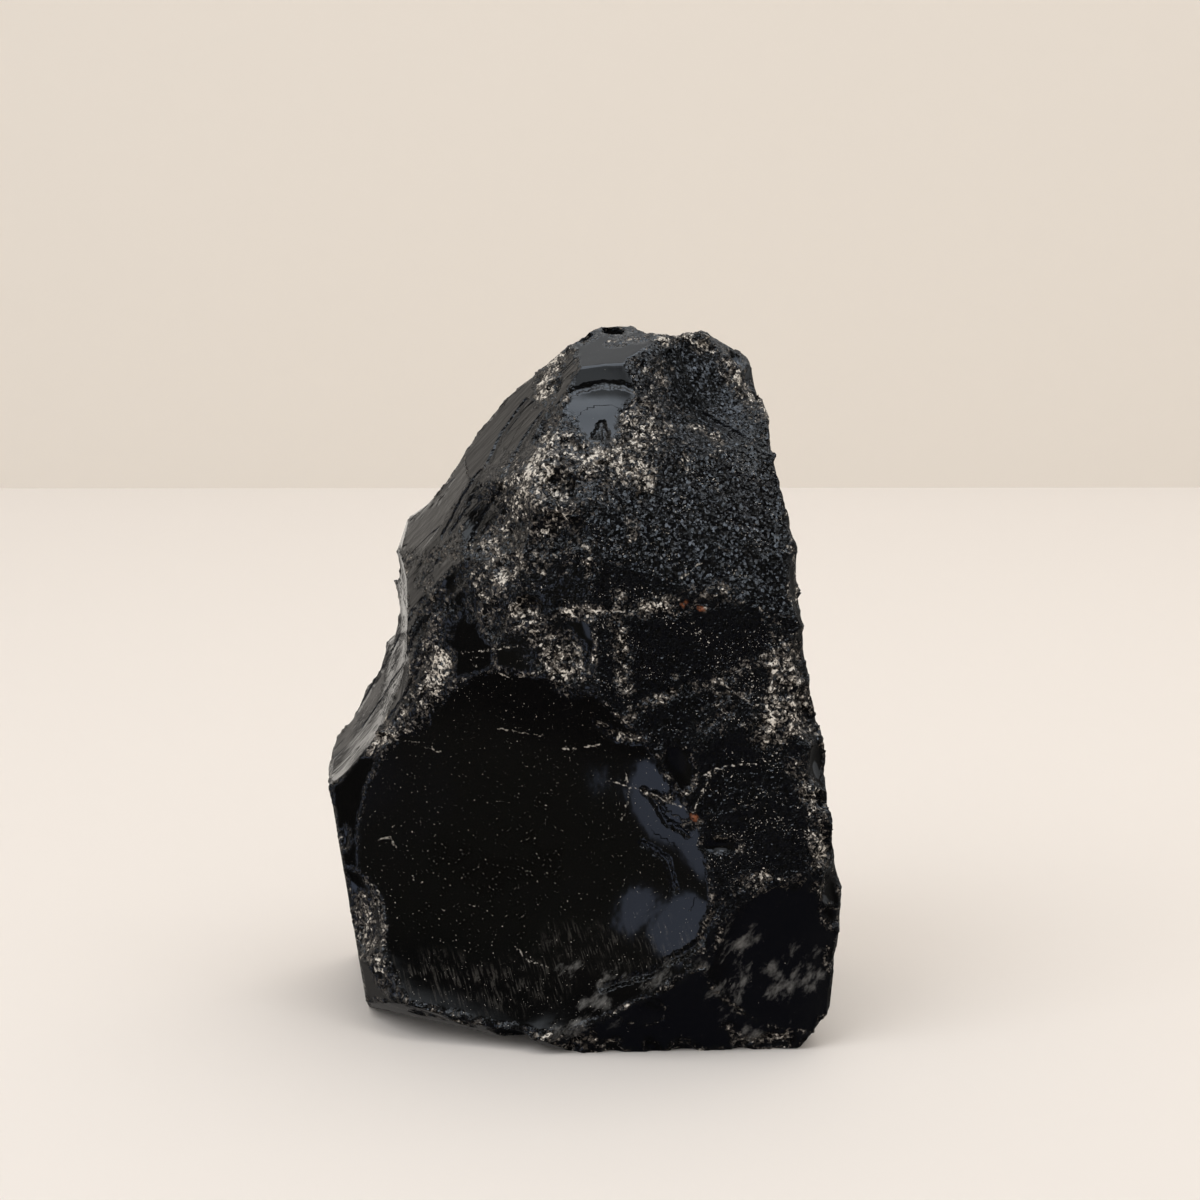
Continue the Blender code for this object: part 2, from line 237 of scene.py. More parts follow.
FLAKE_ROWS = (
    FlakeRow("right_upper_edge", (0.86, -0.50, 0.10), ((28.6, -12, 85), (30.6, -20, 70)), 4, 8, 1.4, 21),
    FlakeRow("right_lower_edge", (0.80, -0.60, 0), ((32.4, -25.5, 44), (34.6, -27, 26), (34.4, -27, 4)),
             9, 8, 1.8, 11),
    FlakeRow("left_edge", (-0.8, -0.6, 0), ((-36, -10, 37), (-34.5, -12, 20), (-31, -17, 6)), 7, 8, 1.3, 12),
    FlakeRow("crest", (-0.45, -0.72, 0.5),
             ((-4.8, -12, 94), (-7.5, -17, 85), (-12, -18.5, 78), (-23, -11, 68)), 10, 7, 1.3, 13),
    FlakeRow("brow_edge", (-0.1, -0.9, 0.4), ((-7, -20, 82), (2, -21.8, 82), (9, -20.5, 79)), 6, 7, 1.1, 23),
    FlakeRow("chest", (-0.35, -0.92, 0.2),
             ((0, -24.8, 73), (-9, -22.5, 72), (-17, -17.8, 70)), 6, 8, 1.2, 24),
    FlakeRow("cheek_edge", (-0.4, -0.9, 0.1),
             ((-2, -26, 63), (-12, -21.5, 64), (-24, -13, 61)), 6, 8, 1.1, 25),
    FlakeRow("top_edge", (0.1, -0.1, 1.0), ((-2, -3, 98), (10, 0, 99.5), (19, 1, 99), (26, -1, 90)),
             7, 7, 1.2, 14),
    FlakeRow("foot_edge", (0, -0.7, -0.7), ((-28, -15, 2), (-10, -25, 1.5), (8, -28, 1), (30, -26, 1)),
             10, 8, 1.4, 15),
    FlakeRow("scar_rim", (0.1, -1.0, 0),
             ((-14, -23.5, 53), (5, -28, 51), (14, -28.4, 42), (19, -28.2, 30), (16, -30, 14), (4, -30, 8)),
             9, 6, 0.9, 16),
    FlakeRow("back_ridge", (0, 1.0, 0.2), ((2, 21, 86), (1, 28, 55), (0, 31, 22)), 6, 13, 1.3, 17),
    FlakeRow("right_back_edge", (0.8, 0.6, 0.1), ((27, 8, 84), (31, 18, 50), (34, 22, 12)), 7, 14, 1.5, 18),
    FlakeRow("left_back_edge", (-0.8, 0.6, 0.2),
             ((-22, 6, 76), (-31, 13, 45), (-35, 18, 12)), 7, 14, 1.5, 19),
)

CRUSH_TRAILS = (
    Trail("chest_zone", ((505, 478), (525, 510), (508, 548)), 0.62, 4.6),
    Trail("chest_zone_right", ((560, 468), (592, 492), (575, 520)), 0.55, 3.4),
    Trail("chest_zone_low", ((476, 578), (500, 600), (505, 618)), 0.48, 3.0),
    Trail("brow_zone", ((545, 425), (570, 458), (610, 466), (645, 456), (660, 430)), 0.68, 2.5),
    Trail("brow_zone_right", ((656, 400), (655, 378), (662, 366)), 0.60, 1.8),
    Trail("notch_zone", ((432, 615), (424, 655), (415, 690)), 0.52, 2.6),
    Trail("hook_zone", ((520, 610), (545, 650), (565, 672)), 0.50, 2.6),
    Trail("crest_top", ((553, 352), (549, 368), (545, 388)), 1.0, 2.0),
    Trail("crest_upper", ((546, 400), (541, 425), (536, 445)), 0.75, 1.0),
    Trail("crest_middle", ((545, 425), (548, 450), (530, 472), (520, 500)), 0.85, 2.4),
    Trail("crest_low", ((520, 500), (500, 525), (480, 545)), 0.8, 1.6),
    Trail("flank_hem", ((480, 545), (450, 548), (425, 556), (405, 560)), 0.55, 1.6),
    Trail("brow_left", ((548, 430), (566, 446), (585, 452)), 0.85, 2.0),
    Trail("brow_band", ((585, 452), (615, 455), (640, 440), (636, 415), (655, 405)), 0.9, 1.8),
    Trail("brow_right", ((640, 440), (628, 462), (645, 480)), 0.75, 1.6),
    Trail("chest_patch", ((520, 512), (545, 525), (560, 500), (535, 490)), 0.72, 2.8),
    Trail("chest_middle", ((500, 545), (515, 560), (500, 585)), 0.75, 2.6),
    Trail("chest_drop", ((562, 515), (572, 545), (590, 570)), 0.62, 1.2),
    Trail("chest_low", ((530, 560), (560, 565), (545, 540)), 0.55, 1.8),
    Trail("temple_spot", ((633, 520), (634, 535)), 0.85, 0.7),
    Trail("cheek_drop", ((470, 575), (482, 600), (485, 625)), 0.6, 1.1),
    Trail("cheek_left", ((415, 575), (428, 590), (420, 610)), 0.55, 1.2),
    Trail("cross_vein", ((560, 612), (600, 613), (640, 612), (672, 604)), 0.72, 1.0),
    Trail("cross_vein_right", ((660, 610), (700, 602), (735, 590)), 0.5, 1.4),
    Trail("down_vein", ((621, 596), (619, 620), (623, 650), (627, 690)), 0.85, 1.0),
    Trail("hook_vein", ((518, 605), (535, 625), (548, 655), (562, 680)), 0.8, 1.5),
    Trail("hook_curl", ((548, 655), (572, 660), (578, 678)), 0.7, 0.8),
    Trail("step_one", ((596, 725), (612, 738), (640, 742)), 0.75, 0.7),
    Trail("hooked_arc", ((630, 722), (640, 706), (668, 700), (675, 694)), 0.8, 0.7),
    Trail("arc_right", ((690, 690), (715, 685), (755, 665), (772, 660)), 0.6, 0.9),
    Trail("side_speckle", ((700, 740), (730, 700), (768, 690)), 0.42, 1.6),
    Trail("step_two", ((645, 795), (668, 800)), 0.7, 0.6),
    Trail("beige_spot", ((674, 679), (681, 679)), 1.0, 0.4),
    Trail("rust_rim", ((685, 826), (700, 824)), 0.85, 0.6),
    Trail("notch", ((432, 618), (428, 640), (436, 662)), 0.75, 1.5),
    Trail("notch_low", ((438, 662), (425, 690), (404, 718)), 0.85, 1.9),
    Trail("corner_left", ((404, 718), (385, 735), (368, 742)), 0.8, 1.1),
    Trail("left_cloud", ((360, 905), (367, 945), (380, 985)), 0.62, 1.5),
    Trail("foot_left", ((395, 1005), (440, 1022), (480, 1028)), 0.6, 0.6),
    Trail("foot_middle", ((520, 1033), (555, 1042), (590, 1040)), 0.65, 0.8),
    Trail("scar_end", ((725, 900), (745, 885), (770, 880)), 0.6, 0.9),
    Trail("foot_right", ((728, 1030), (745, 1042), (790, 1038)), 0.65, 0.8),
    Trail("ear_flake", ((798, 548), (803, 575), (801, 602)), 0.8, 0.9),
    Trail("bead_flake", ((770, 618), (785, 640), (800, 655)), 0.6, 0.7),
    Trail("rust_hollow", ((776, 662), (790, 680), (785, 710), (772, 735)), 0.85, 2.0),
    Trail("rust_hollow_right", ((790, 655), (803, 680), (808, 705), (800, 725)), 0.75, 1.8),
    Trail("right_knob", ((812, 725), (822, 738)), 0.7, 0.8),
    Trail("right_middle", ((800, 770), (815, 790), (822, 815)), 0.66, 1.5),
    Trail("right_lower", ((818, 840), (828, 870), (822, 885)), 0.72, 1.5),
    Trail("right_lower_left", ((788, 880), (800, 885)), 0.55, 1.0),
    Trail("crown_top", ((660, 333), (690, 332), (712, 345)), 0.8, 1.5),
    Trail("crown_crush", ((644, 366), (655, 372), (662, 380)), 0.95, 1.0),
    Trail("crown_left_edge", ((662, 380), (668, 400), (690, 412)), 0.6, 0.9),
    Trail("crown_right", ((733, 362), (742, 382), (755, 400), (772, 412)), 0.85, 1.6),
    Trail("crown_foot", ((695, 425), (715, 432), (722, 440)), 0.7, 0.8),
    Trail("shoulder_spot", ((686, 452), (688, 466)), 0.8, 0.6),
    Trail("top_edge", ((612, 340), (640, 336), (665, 333)), 0.6, 0.8),
)

SMEARS = (
    Trail("toe_smear", ((575, 1018), (590, 1002), (612, 985)), 0.95, 2.6),
    Trail("toe_smear_low", ((560, 1025), (590, 1022)), 0.8, 1.8),
    Trail("middle_smear", ((645, 978), (665, 968), (695, 965)), 0.7, 1.8),
    Trail("corner_smear", ((742, 950), (752, 975), (775, 985)), 0.85, 2.6),
    Trail("corner_smear_low", ((728, 990), (738, 1003), (732, 1012)), 0.9, 2.2),
    Trail("corner_smear_right", ((800, 960), (812, 985)), 0.65, 2.4),
    Trail("corner_smear_edge", ((745, 1038), (790, 1030)), 0.7, 2.0),
    Trail("corner_haze", ((740, 925), (748, 945)), 0.6, 2.0),
    Trail("spot_smear", ((563, 968), (570, 970)), 0.8, 1.2),
    Trail("low_left_smear", ((363, 925), (372, 965), (388, 995)), 0.7, 2.0),
)

HACKLES = (
    Trail("low_hackles", ((425, 975), (465, 985), (520, 985), (545, 975)), 0.9, 2.6),
    Trail("crescent_hackles", ((560, 940), (620, 950), (670, 940)), 0.8, 2.2),
    Trail("low_hackles_left", ((380, 955), (410, 970)), 0.4, 1.6),
)

RUST_SPECKS = (
    Trail("rust_spot", ((694, 817), (697, 820)), 1.0, 0.30),
    Trail("rust_speck", ((683, 608), (686, 606)), 0.7, 0.15),
    Trail("rust_speck_right", ((702, 611), (705, 611)), 0.8, 0.15),
)

CLEAN_RIMS = (
    Trail("left_rim_clean", ((345, 755), (348, 810), (352, 870)), 0.5, 1.8),
    Trail("brow_rim_clean", ((572, 372), (605, 366), (636, 372)), 0.9, 1.2),
)

PALE_LINES = (
    Trail("scar_lip_high", ((455, 652), (485, 652), (515, 648)), 0.8),
    Trail("scar_lip_low", ((470, 665), (510, 682), (550, 668)), 0.8),
    Trail("vein_line", ((560, 612), (620, 614), (650, 608)), 0.8),
    Trail("high_line", ((682, 578), (695, 566), (706, 560)), 0.85),
    Trail("long_line", ((706, 775), (722, 768), (740, 768), (756, 766)), 0.9),
    Trail("drop_line", ((696, 812), (704, 792), (720, 770)), 0.8),
    Trail("side_line", ((722, 683), (740, 696), (762, 707)), 0.8),
    Trail("bowl_step", ((562, 752), (578, 750), (596, 746)), 0.8),
    Trail("bowl_dots", ((496, 730), (515, 735), (540, 738)), 0.5),
    Trail("left_arc", ((380, 742), (410, 745), (440, 755)), 0.6),
    Trail("left_curve", ((372, 842), (386, 838), (394, 848)), 0.6),
    Trail("left_loop", ((366, 882), (377, 890), (376, 902), (368, 906)), 0.7),
    Trail("patch_line", ((604, 783), (625, 788), (660, 800), (684, 812)), 0.8),
    Trail("patch_drop", ((622, 770), (626, 790), (620, 820)), 0.6),
    Trail("low_step", ((512, 945), (526, 957), (545, 965)), 0.7),
)

CRACKS = (
    Trail("crown_groove", ((673, 350), (680, 380), (700, 410), (740, 433)), 1.0),
    Trail("crown_groove_outer", ((665, 355), (669, 387), (688, 415), (720, 438)), 1.0),
    Trail("crown_groove_inner", ((684, 352), (692, 378), (712, 402)), 0.6),
    Trail("flank_crack", ((524, 398), (500, 432), (488, 458)), 0.9),
    Trail("flank_crack_low", ((540, 412), (520, 440), (505, 470)), 0.8),
    Trail("flank_crack_left", ((478, 470), (458, 500), (440, 535)), 0.7),
    Trail("shard_crack", ((500, 488), (478, 520), (468, 548)), 1.0),
    Trail("shard_crack_left", ((470, 500), (450, 530)), 0.8),
    Trail("hollow_crack", ((420, 625), (398, 668), (362, 722)), 1.0),
    Trail("hollow_crack_low", ((426, 655), (402, 696), (374, 732)), 1.0),
    Trail("hollow_crack_high", ((412, 612), (388, 652), (356, 706)), 0.8),
    Trail("patch_vein_right", ((650, 800), (662, 822), (684, 834)), 0.5),
    Trail("patch_vein_low", ((640, 845), (664, 862), (672, 890)), 0.5),
    Trail("scar_end_groove", ((600, 985), (650, 970), (700, 940), (722, 905)), 1.0),
    Trail("brow_arc", ((556, 402), (566, 392), (582, 385), (602, 381), (622, 382), (641, 389)), 0.45),
    Trail("brow_nick", ((596, 432), (601, 420), (606, 436)), 1.0),
)

TRAILS = {Mark.CRUSH: CRUSH_TRAILS, Mark.SMEAR: SMEARS, Mark.HACKLE: HACKLES, Mark.RUST: RUST_SPECKS,
          Mark.CLEAN: CLEAN_RIMS, Mark.LINE: PALE_LINES, Mark.CRACK: CRACKS}
DRAWN = (Mark.LINE, Mark.CRACK)


def unit(vector: Point | np.ndarray) -> np.ndarray:
    """Return a vector scaled to length one."""
    raw = np.asarray(vector, dtype=float)
    return raw / np.linalg.norm(raw)


def along(edge: tuple[Point, ...], share: float) -> Vector:
    """Find the point at a share of the way along an edge's straight stretches.

    Args:
        edge: The edge's corners.
        share: From 0 at its start to 1 at its end.

    Returns:
        The point.
    """
    points = [Vector(point) for point in edge]
    lengths = [(end - start).length for start, end in zip(points, points[1:])]
    left = share * sum(lengths)
    for start, end, length in zip(points, points[1:], lengths):
        if left <= length:
            return start.lerp(end, left / length)
        left -= length
    return points[-1]


def flakes(row: FlakeRow, lean: float = 0.45) -> Iterator[Scar]:
    """Yield the small scars of one row, spread along its edge.

    Args:
        row: The row.
        lean: How far a flake may face away from the row's own outward way.

    Yields:
        One scar for each flake.
    """
    dice = random.Random(row.seed)
    for number in range(row.count):
        place = along(row.edge, (number + 0.5 + dice.uniform(-0.35, 0.35)) / row.count)
        tilt = Vector([dice.uniform(-lean, lean) for _ in range(3)])
        facing = Vector(row.outward).normalized() + tilt
        length = row.longest * dice.uniform(0.45, 1.1)
        width = length * dice.uniform(0.35, 0.85)
        depth = row.deepest * dice.uniform(0.4, 1.0)
        yield Scar(f"{row.name}_{number}", tuple(place), tuple(facing), length, width, depth,
                   dice.uniform(-90, 90), skin=Skin.FLAKED)


class Hollow:
    """One scar as the ellipsoid that scoops it out, measured in mm."""

    def __init__(self, scar: Scar) -> None:
        """Work out the ellipsoid whose end cap has the scar's oval rim and depth."""
        self.scar = scar
        outward = unit(scar.facing)
        up = np.array((0.0, 0.0, 1.0)) if abs(outward[2]) < 0.95 else np.array((0.0, 1.0, 0.0))
        across = unit(np.cross(up, outward))
        turn = np.array(Matrix.Rotation(math.radians(scar.roll), 3, Vector(outward)))
        half_length, half_width = scar.length / 2, scar.width / 2
        inward = (half_length * half_width + scar.depth**2) / (2 * scar.depth)
        spread = math.sqrt(1 - (1 - scar.depth / inward) ** 2)
        self.axes = np.stack([turn @ across, turn @ np.cross(outward, across), outward])
        self.radii = np.array((half_length / spread, half_width / spread, inward))
        self.centre = np.array(scar.at, dtype=float) + outward * (inward - scar.depth)
        self.reach = float(self.radii.max()) + 1.0

    def measure(self, points: np.ndarray) -> tuple[np.ndarray, np.ndarray]:
        """Measure how far points stand inside the hollow.

        Args:
            points: Points in mm, one to a row.

        Returns:
            The distance inside the hollow's wall and the outward direction of the glass there.
        """
        local = (points - self.centre) @ self.axes.T
        near = np.linalg.norm(local / self.radii, axis=1)
        slope = np.linalg.norm(local / self.radii**2, axis=1) + 1e-9
        depth = near * (1 - near) / slope
        if self.scar.ripple:
            away = np.linalg.norm(points - np.array(self.scar.struck), axis=1)
            depth = depth + self.scar.ripple * np.cos(math.tau * away / self.scar.wave)
        normal = -((local / self.radii**2) / slope[:, None]) @ self.axes
        return depth, normal


@dataclass
class BrokenShape:
    """The chunk's surface as distances to its flat fractures and hollows, in mm."""

    facets: tuple[Facet, ...] = FACETS
    scars: tuple[Scar, ...] = SCARS
    rows: tuple[FlakeRow, ...] = FLAKE_ROWS
    hollows: list[Hollow] = field(init=False)
    skins: list[Skin] = field(init=False)
    names: list[str] = field(init=False)

    def __post_init__(self) -> None:
        """Make the flakes of every row and list what each surface looks like."""
        every = list(self.scars) + [flake for row in self.rows for flake in flakes(row)]
        self.hollows = [Hollow(scar) for scar in every]
        self.skins = [facet.skin for facet in self.facets] + [scar.skin for scar in every]
        self.names = [facet.name for facet in self.facets] + [scar.name for scar in every]

    def measure(self, points: np.ndarray) -> tuple[np.ndarray, np.ndarray, np.ndarray, np.ndarray]:
        """Find the two surfaces that decide where each point lies.

        Args:
            points: Points in mm, one to a row.

        Returns:
            The height over the nearest surface, its normal, its number, and the distance to the ridge
            where it meets the next surface, weighted so that a faint ridge counts as far.
        """
        count = len(points)
        best = np.full(count, -np.inf)
        second = np.full(count, -np.inf)
        best_normal = np.zeros((count, 3))
        second_normal = np.zeros((count, 3))
        owner = np.zeros(count, dtype=int)
        for number, (height, normal, rows) in enumerate(self._surfaces(points)):
            wins = height > best[rows]
            won, lost = rows[wins], rows[~wins]
            second[won], second_normal[won] = best[won], best_normal[won]
            best[won], best_normal[won], owner[won] = height[wins], normal[wins], number
            runner = height[~wins] > second[lost]
            beaten = lost[runner]
            second[beaten], second_normal[beaten] = height[~wins][runner], normal[~wins][runner]
        turn = np.linalg.norm(best_normal - second_normal, axis=1)
        ridge = (best - second) / np.maximum(turn, 1e-3) / np.clip(turn / 0.6, 0.05, 1.0)
        return best, best_normal, owner, ridge

    def _surfaces(self, points: np.ndarray) -> Iterator[tuple[np.ndarray, np.ndarray, np.ndarray]]:
        """Yield each surface's heights and normals at the points that it can reach."""
        all_rows = np.arange(len(points))
        for facet in self.facets:
            normal = unit(facet.facing)
            height = (points - np.array(facet.through)) @ normal
            yield height, np.broadcast_to(normal, points.shape), all_rows
        for hollow in self.hollows:
            rows = np.flatnonzero(np.linalg.norm(points - hollow.centre, axis=1) < hollow.reach + 4.0)
            depth, normal = hollow.measure(points[rows])
            yield depth, normal, rows

    def settle(self, points: np.ndarray, rounds: int = 4, stride: float = 0.8) -> np.ndarray:
        """Move points onto the surface.

        Args:
            points: Points in mm near the surface.
            rounds: How many times to step towards it.
            stride: The longest step in mm.

        Returns:
            The moved points.
        """
        moved = points.copy()
        for _ in range(rounds):
            height, normal, _, _ = self.measure(moved)
            moved -= normal * np.clip(height, -stride, stride)[:, None]
        return moved


@dataclass(frozen=True)
class FrontView:
    """The eye that the chunk is seen from, as a camera with a square frame."""

    eye: Point = (0.0, -0.430, 0.1415)
    aim: Point = (0.0023, 0.0, 0.0599)
    lens_mm: float = 90.0
    sensor_mm: float = 36.0
    frame_px: int = 1200

    def turn(self) -> Matrix:
        """Return the camera's rotation."""
        return (Vector(self.aim) - Vector(self.eye)).to_track_quat("-Z", "Y").to_matrix()

    def project(self, points: np.ndarray) -> tuple[np.ndarray, np.ndarray]:
        """Find where points fall in the frame.

        Args:
            points: Points in metres, one to a row.

        Returns:
            Their spots in frame pixels and their distances from the eye.
        """
        local = (points - np.array(self.eye)) @ np.array(self.turn())
        away = -local[:, 2]
        scale = self.frame_px * self.lens_mm / self.sensor_mm
        half = self.frame_px / 2
        spots = np.stack([half + scale * local[:, 0] / away, half - scale * local[:, 1] / away], axis=1)
        return spots, away

    def touch(self, spot: Spot, spots: np.ndarray, away: np.ndarray, blur_px: float = 4.0) -> int:
        """Find the foremost point near a spot of the frame.

        Args:
            spot: The spot in frame pixels.
            spots: Where every point falls.
            away: How far every point is from the eye.
            blur_px: How near to the spot a point must fall.

        Returns:
            The number of the point.
        """
        miss = np.linalg.norm(spots - np.array(spot), axis=1)
        near = np.flatnonzero(miss < blur_px)
        if not len(near):
            return int(np.argmin(miss))
        return int(near[np.argmin(away[near] + miss[near] * 1e-5)])

    def build(self) -> bpy.types.Object:
        """Make the camera and look through it."""
        data = bpy.data.cameras.new("front_view")
        data.lens = self.lens_mm
        data.sensor_width = self.sensor_mm
        data.clip_start = 0.01
        camera = bpy.data.objects.new("front_view", data)
        camera.matrix_world = Matrix.Translation(self.eye) @ self.turn().to_4x4()
        bpy.context.scene.collection.objects.link(camera)
        bpy.context.scene.camera = camera
        return camera


class Wiring:
    """Adds nodes to a tree and joins them up."""

    def __init__(self, tree: bpy.types.NodeTree) -> None:
        """Start on an empty tree."""
        self.tree = tree
        tree.nodes.clear()

    def add(self, kind: str, feeds: Mapping[str | int, object] | None = None,
            **settings: object) -> bpy.types.Node:
        """Add one node.

        Args:
            kind: The node's type.
            feeds: What goes into its inputs: another node's output, or a plain value.
            **settings: The node's own settings.

        Returns:
            The node.
        """
        node = self.tree.nodes.new(kind)
        for name, value in settings.items():
            setattr(node, name, value)
        for key, value in (feeds or {}).items():
            if isinstance(value, Socket):
                self.tree.links.new(value, node.inputs[key])
            else:
                node.inputs[key].default_value = value
        return node

    def math(self, operation: str, first: object, second: object) -> Socket:
        """Add a sum of two numbers and return its result."""
        return self.add("ShaderNodeMath", {0: first, 1: second}, operation=operation).outputs[0]

    def plus(self, first: object, second: object) -> Socket:
        """Return one number plus another."""
        return self.math("ADD", first, second)

    def minus(self, first: object, second: object) -> Socket:
        """Return one number less another."""
        return self.math("SUBTRACT", first, second)

    def times(self, first: object, second: object) -> Socket:
        """Return one number times another."""
        return self.math("MULTIPLY", first, second)

    def larger(self, first: object, second: object) -> Socket:
        """Return the larger of two numbers."""
        return self.math("MAXIMUM", first, second)

    def vector(self, operation: str, first: object, second: object) -> bpy.types.Node:
        """Add a sum of two vectors and return its node."""
        return self.add("ShaderNodeVectorMath", {0: first, 1: second}, operation=operation)

    def ramp(self, value: object, low: float, high: float, start: float = 0.0, end: float = 1.0,
             ) -> Socket:
        """Add a smooth step from one value to another.

        Args:
            value: What drives it.
            low: Where the step starts.
            high: Where the step ends.
            start: What comes out below it.
            end: What comes out above it.

        Returns:
            The result.
        """
        feeds = {"Value": value, "From Min": low, "From Max": high, "To Min": start, "To Max": end}
        return self.add("ShaderNodeMapRange", feeds, interpolation_type="SMOOTHSTEP").outputs[0]

    def noise(self, place: object, grain_mm: float, detail: float = 2.0, rough: float = 0.5,
              ) -> Socket:
        """Add noise whose lumps are about grain_mm across and return it, centred on a half."""
        feeds = {"Vector": place, "Scale": 1.0 / (grain_mm * MM), "Detail": detail, "Roughness": rough}
        return self.add("ShaderNodeTexNoise", feeds).outputs["Fac"]

    def scaled(self, vector: object, factor: object) -> Socket:
        """Return a vector made longer or shorter by a factor."""
        feeds = {0: vector, "Scale": factor}
        return self.add("ShaderNodeVectorMath", feeds, operation="SCALE").outputs[0]

    def shaken(self, place: object, grain_mm: float, detail: float, reach: float) -> Socket:
        """Return a vector that wanders about zero, by up to half of its reach each way."""
        feeds = {"Vector": place, "Scale": 1.0 / (grain_mm * MM), "Detail": detail}
        colour = self.add("ShaderNodeTexNoise", feeds).outputs["Color"]
        return self.scaled(self.vector("SUBTRACT", colour, (0.5, 0.5, 0.5)).outputs[0], reach)

    def stretched(self, place: object, slant: float, scale: Point) -> Socket:
        """Return a place for a pattern that is drawn out, slanting by an angle in degrees."""
        feeds = {"Vector": place, "Rotation": (0.0, math.radians(slant), 0.0), "Scale": scale}
        return self.add("ShaderNodeMapping", feeds, vector_type="TEXTURE").outputs[0]

    def stops(self, value: object, colours: tuple[tuple[float, Point], ...]) -> Socket:
        """Turn a number into a colour through a row of stops and return the colour."""
        node = self.add("ShaderNodeValToRGB", {0: value})
        elements = node.color_ramp.elements
        while len(elements) < len(colours):
            elements.new(0.5)
        for element, (position, colour) in zip(elements, colours):
            element.position = position
            element.color = (*colour, 1.0)
        return node.outputs["Color"]

    def splinters(self, place: object, size_mm: float) -> tuple[Socket, Socket]:
        """Add flat-faced splinters, each tilted its own way.

        Args:
            place: Where on the surface.
            size_mm: About how wide a splinter is.

        Returns:
            The height of the splinters in units of their size, centred on zero, and each one's own number.
        """
        cells = self.add("ShaderNodeTexVoronoi", {"Vector": place, "Scale": 1.0 / (size_mm * MM)})
        offset = self.vector("SUBTRACT", place, cells.outputs["Position"]).outputs[0]
        tilt = self.vector("SUBTRACT", cells.outputs["Color"], (0.5, 0.5, 0.5)).outputs[0]
        lean = self.vector("DOT_PRODUCT", offset, tilt).outputs["Value"]
        height = self.times(lean, 2.0 / (size_mm * MM))
        own = self.add("ShaderNodeSeparateXYZ", {0: cells.outputs["Color"]}).outputs[0]
        return height, own


@dataclass(frozen=True)
class CrushedRelief:
    """The raised grain of crushed glass and the slow swell of every fracture, in mm."""

    lump_size: float = 5.5
    lump_depth: float = 0.55
    coarse_size: float = 2.4
    coarse_depth: float = 0.30
    fine_size: float = 1.2
    fine_depth: float = 0.17
    swell_size: float = 15.0
    swell_depth: float = 0.12
    dimple_size: float = 6.0
    dimple_depth: float = 0.025

    def tree(self) -> bpy.types.NodeTree:
        """Build the tree that moves each point of the skin along its normal."""
        tree = bpy.data.node_groups.new("crushed_relief", "GeometryNodeTree")
        wires = Wiring(tree)
        sockets = tree.interface
        sockets.new_socket("Geometry", in_out="INPUT", socket_type="NodeSocketGeometry")
        for name in ("Lump Depth", "Coarse Depth", "Fine Depth", "Swell Depth", "Dimple Depth"):
            sockets.new_socket(name, in_out="INPUT", socket_type="NodeSocketFloat")
        sockets.new_socket("Glass", in_out="INPUT", socket_type="NodeSocketMaterial")
        sockets.new_socket("Geometry", in_out="OUTPUT", socket_type="NodeSocketGeometry")
        given = wires.add("NodeGroupInput").outputs
        place = wires.add("GeometryNodeInputPosition").outputs[0]
        normal = wires.add("GeometryNodeInputNormal").outputs[0]
        crush = self._attribute(wires, "crush")
        free = self._attribute(wires, "free")
        grain = None
        for size, depth in ((self.lump_size, "Lump Depth"), (self.coarse_size, "Coarse Depth"),
                            (self.fine_size, "Fine Depth")):
            tilted, _ = wires.splinters(place, size)
            part = wires.times(tilted, given[depth])
            grain = part if grain is None else wires.plus(grain, part)
        patchy = wires.times(wires.minus(wires.noise(place, 3.0), 0.5), 0.7)
        patchy = wires.ramp(wires.plus(crush, patchy), 0.25, 0.80)
        grain = wires.times(grain, patchy)
        swell = 0.0
        for size, depth in ((self.swell_size, "Swell Depth"), (self.dimple_size, "Dimple Depth")):
            part = wires.minus(wires.noise(place, size, 1.0), 0.5)
            swell = wires.plus(swell, wires.times(part, given[depth]))
        height = wires.times(wires.plus(grain, swell), free)
        offset = wires.scaled(normal, height)
        moved = wires.add("GeometryNodeSetPosition", {"Geometry": given["Geometry"], "Offset": offset})
        real = wires.add("GeometryNodeRealizeInstances", {0: moved.outputs[0]}).outputs[0]
        dressed = wires.add("GeometryNodeSetMaterial", {"Geometry": real, "Material": given["Glass"]})
        wires.add("NodeGroupOutput", {0: dressed.outputs[0]})
        return tree

    @staticmethod
    def _attribute(wires: Wiring, name: str) -> Socket:
        """Read one of the skin's own numbers."""
        return wires.add("GeometryNodeInputNamedAttribute", {"Name": name}, data_type="FLOAT").outputs[0]

    def carve(self, skin: bpy.types.Object, glass: bpy.types.Material) -> bpy.types.Object:
        """Run the tree on the skin and keep the result as a plain mesh.

        Args:
            skin: The settled skin with its marks.
            glass: The finish that it takes.

        Returns:
            The same object with its new mesh.
        """
        tree = self.tree()
        modifier = skin.modifiers.new("crushed_relief", "NODES")
        modifier.node_group = tree
        values = {"Lump Depth": self.lump_depth * MM, "Coarse Depth": self.coarse_depth * MM,
                  "Fine Depth": self.fine_depth * MM, "Swell Depth": 2 * self.swell_depth * MM,
                  "Dimple Depth": 2 * self.dimple_depth * MM, "Glass": glass}
        for item in tree.interface.items_tree:
            if item.in_out == "INPUT" and item.name in values:
                modifier[item.identifier] = values[item.name]
        return bake(skin)


def vectors(items: bpy.types.bpy_prop_collection, name: str) -> np.ndarray:
    """Return one vector of each of a mesh's items, one to a row."""
    flat = np.empty(len(items) * 3)
    items.foreach_get(name, flat)
    return flat.reshape(-1, 3)


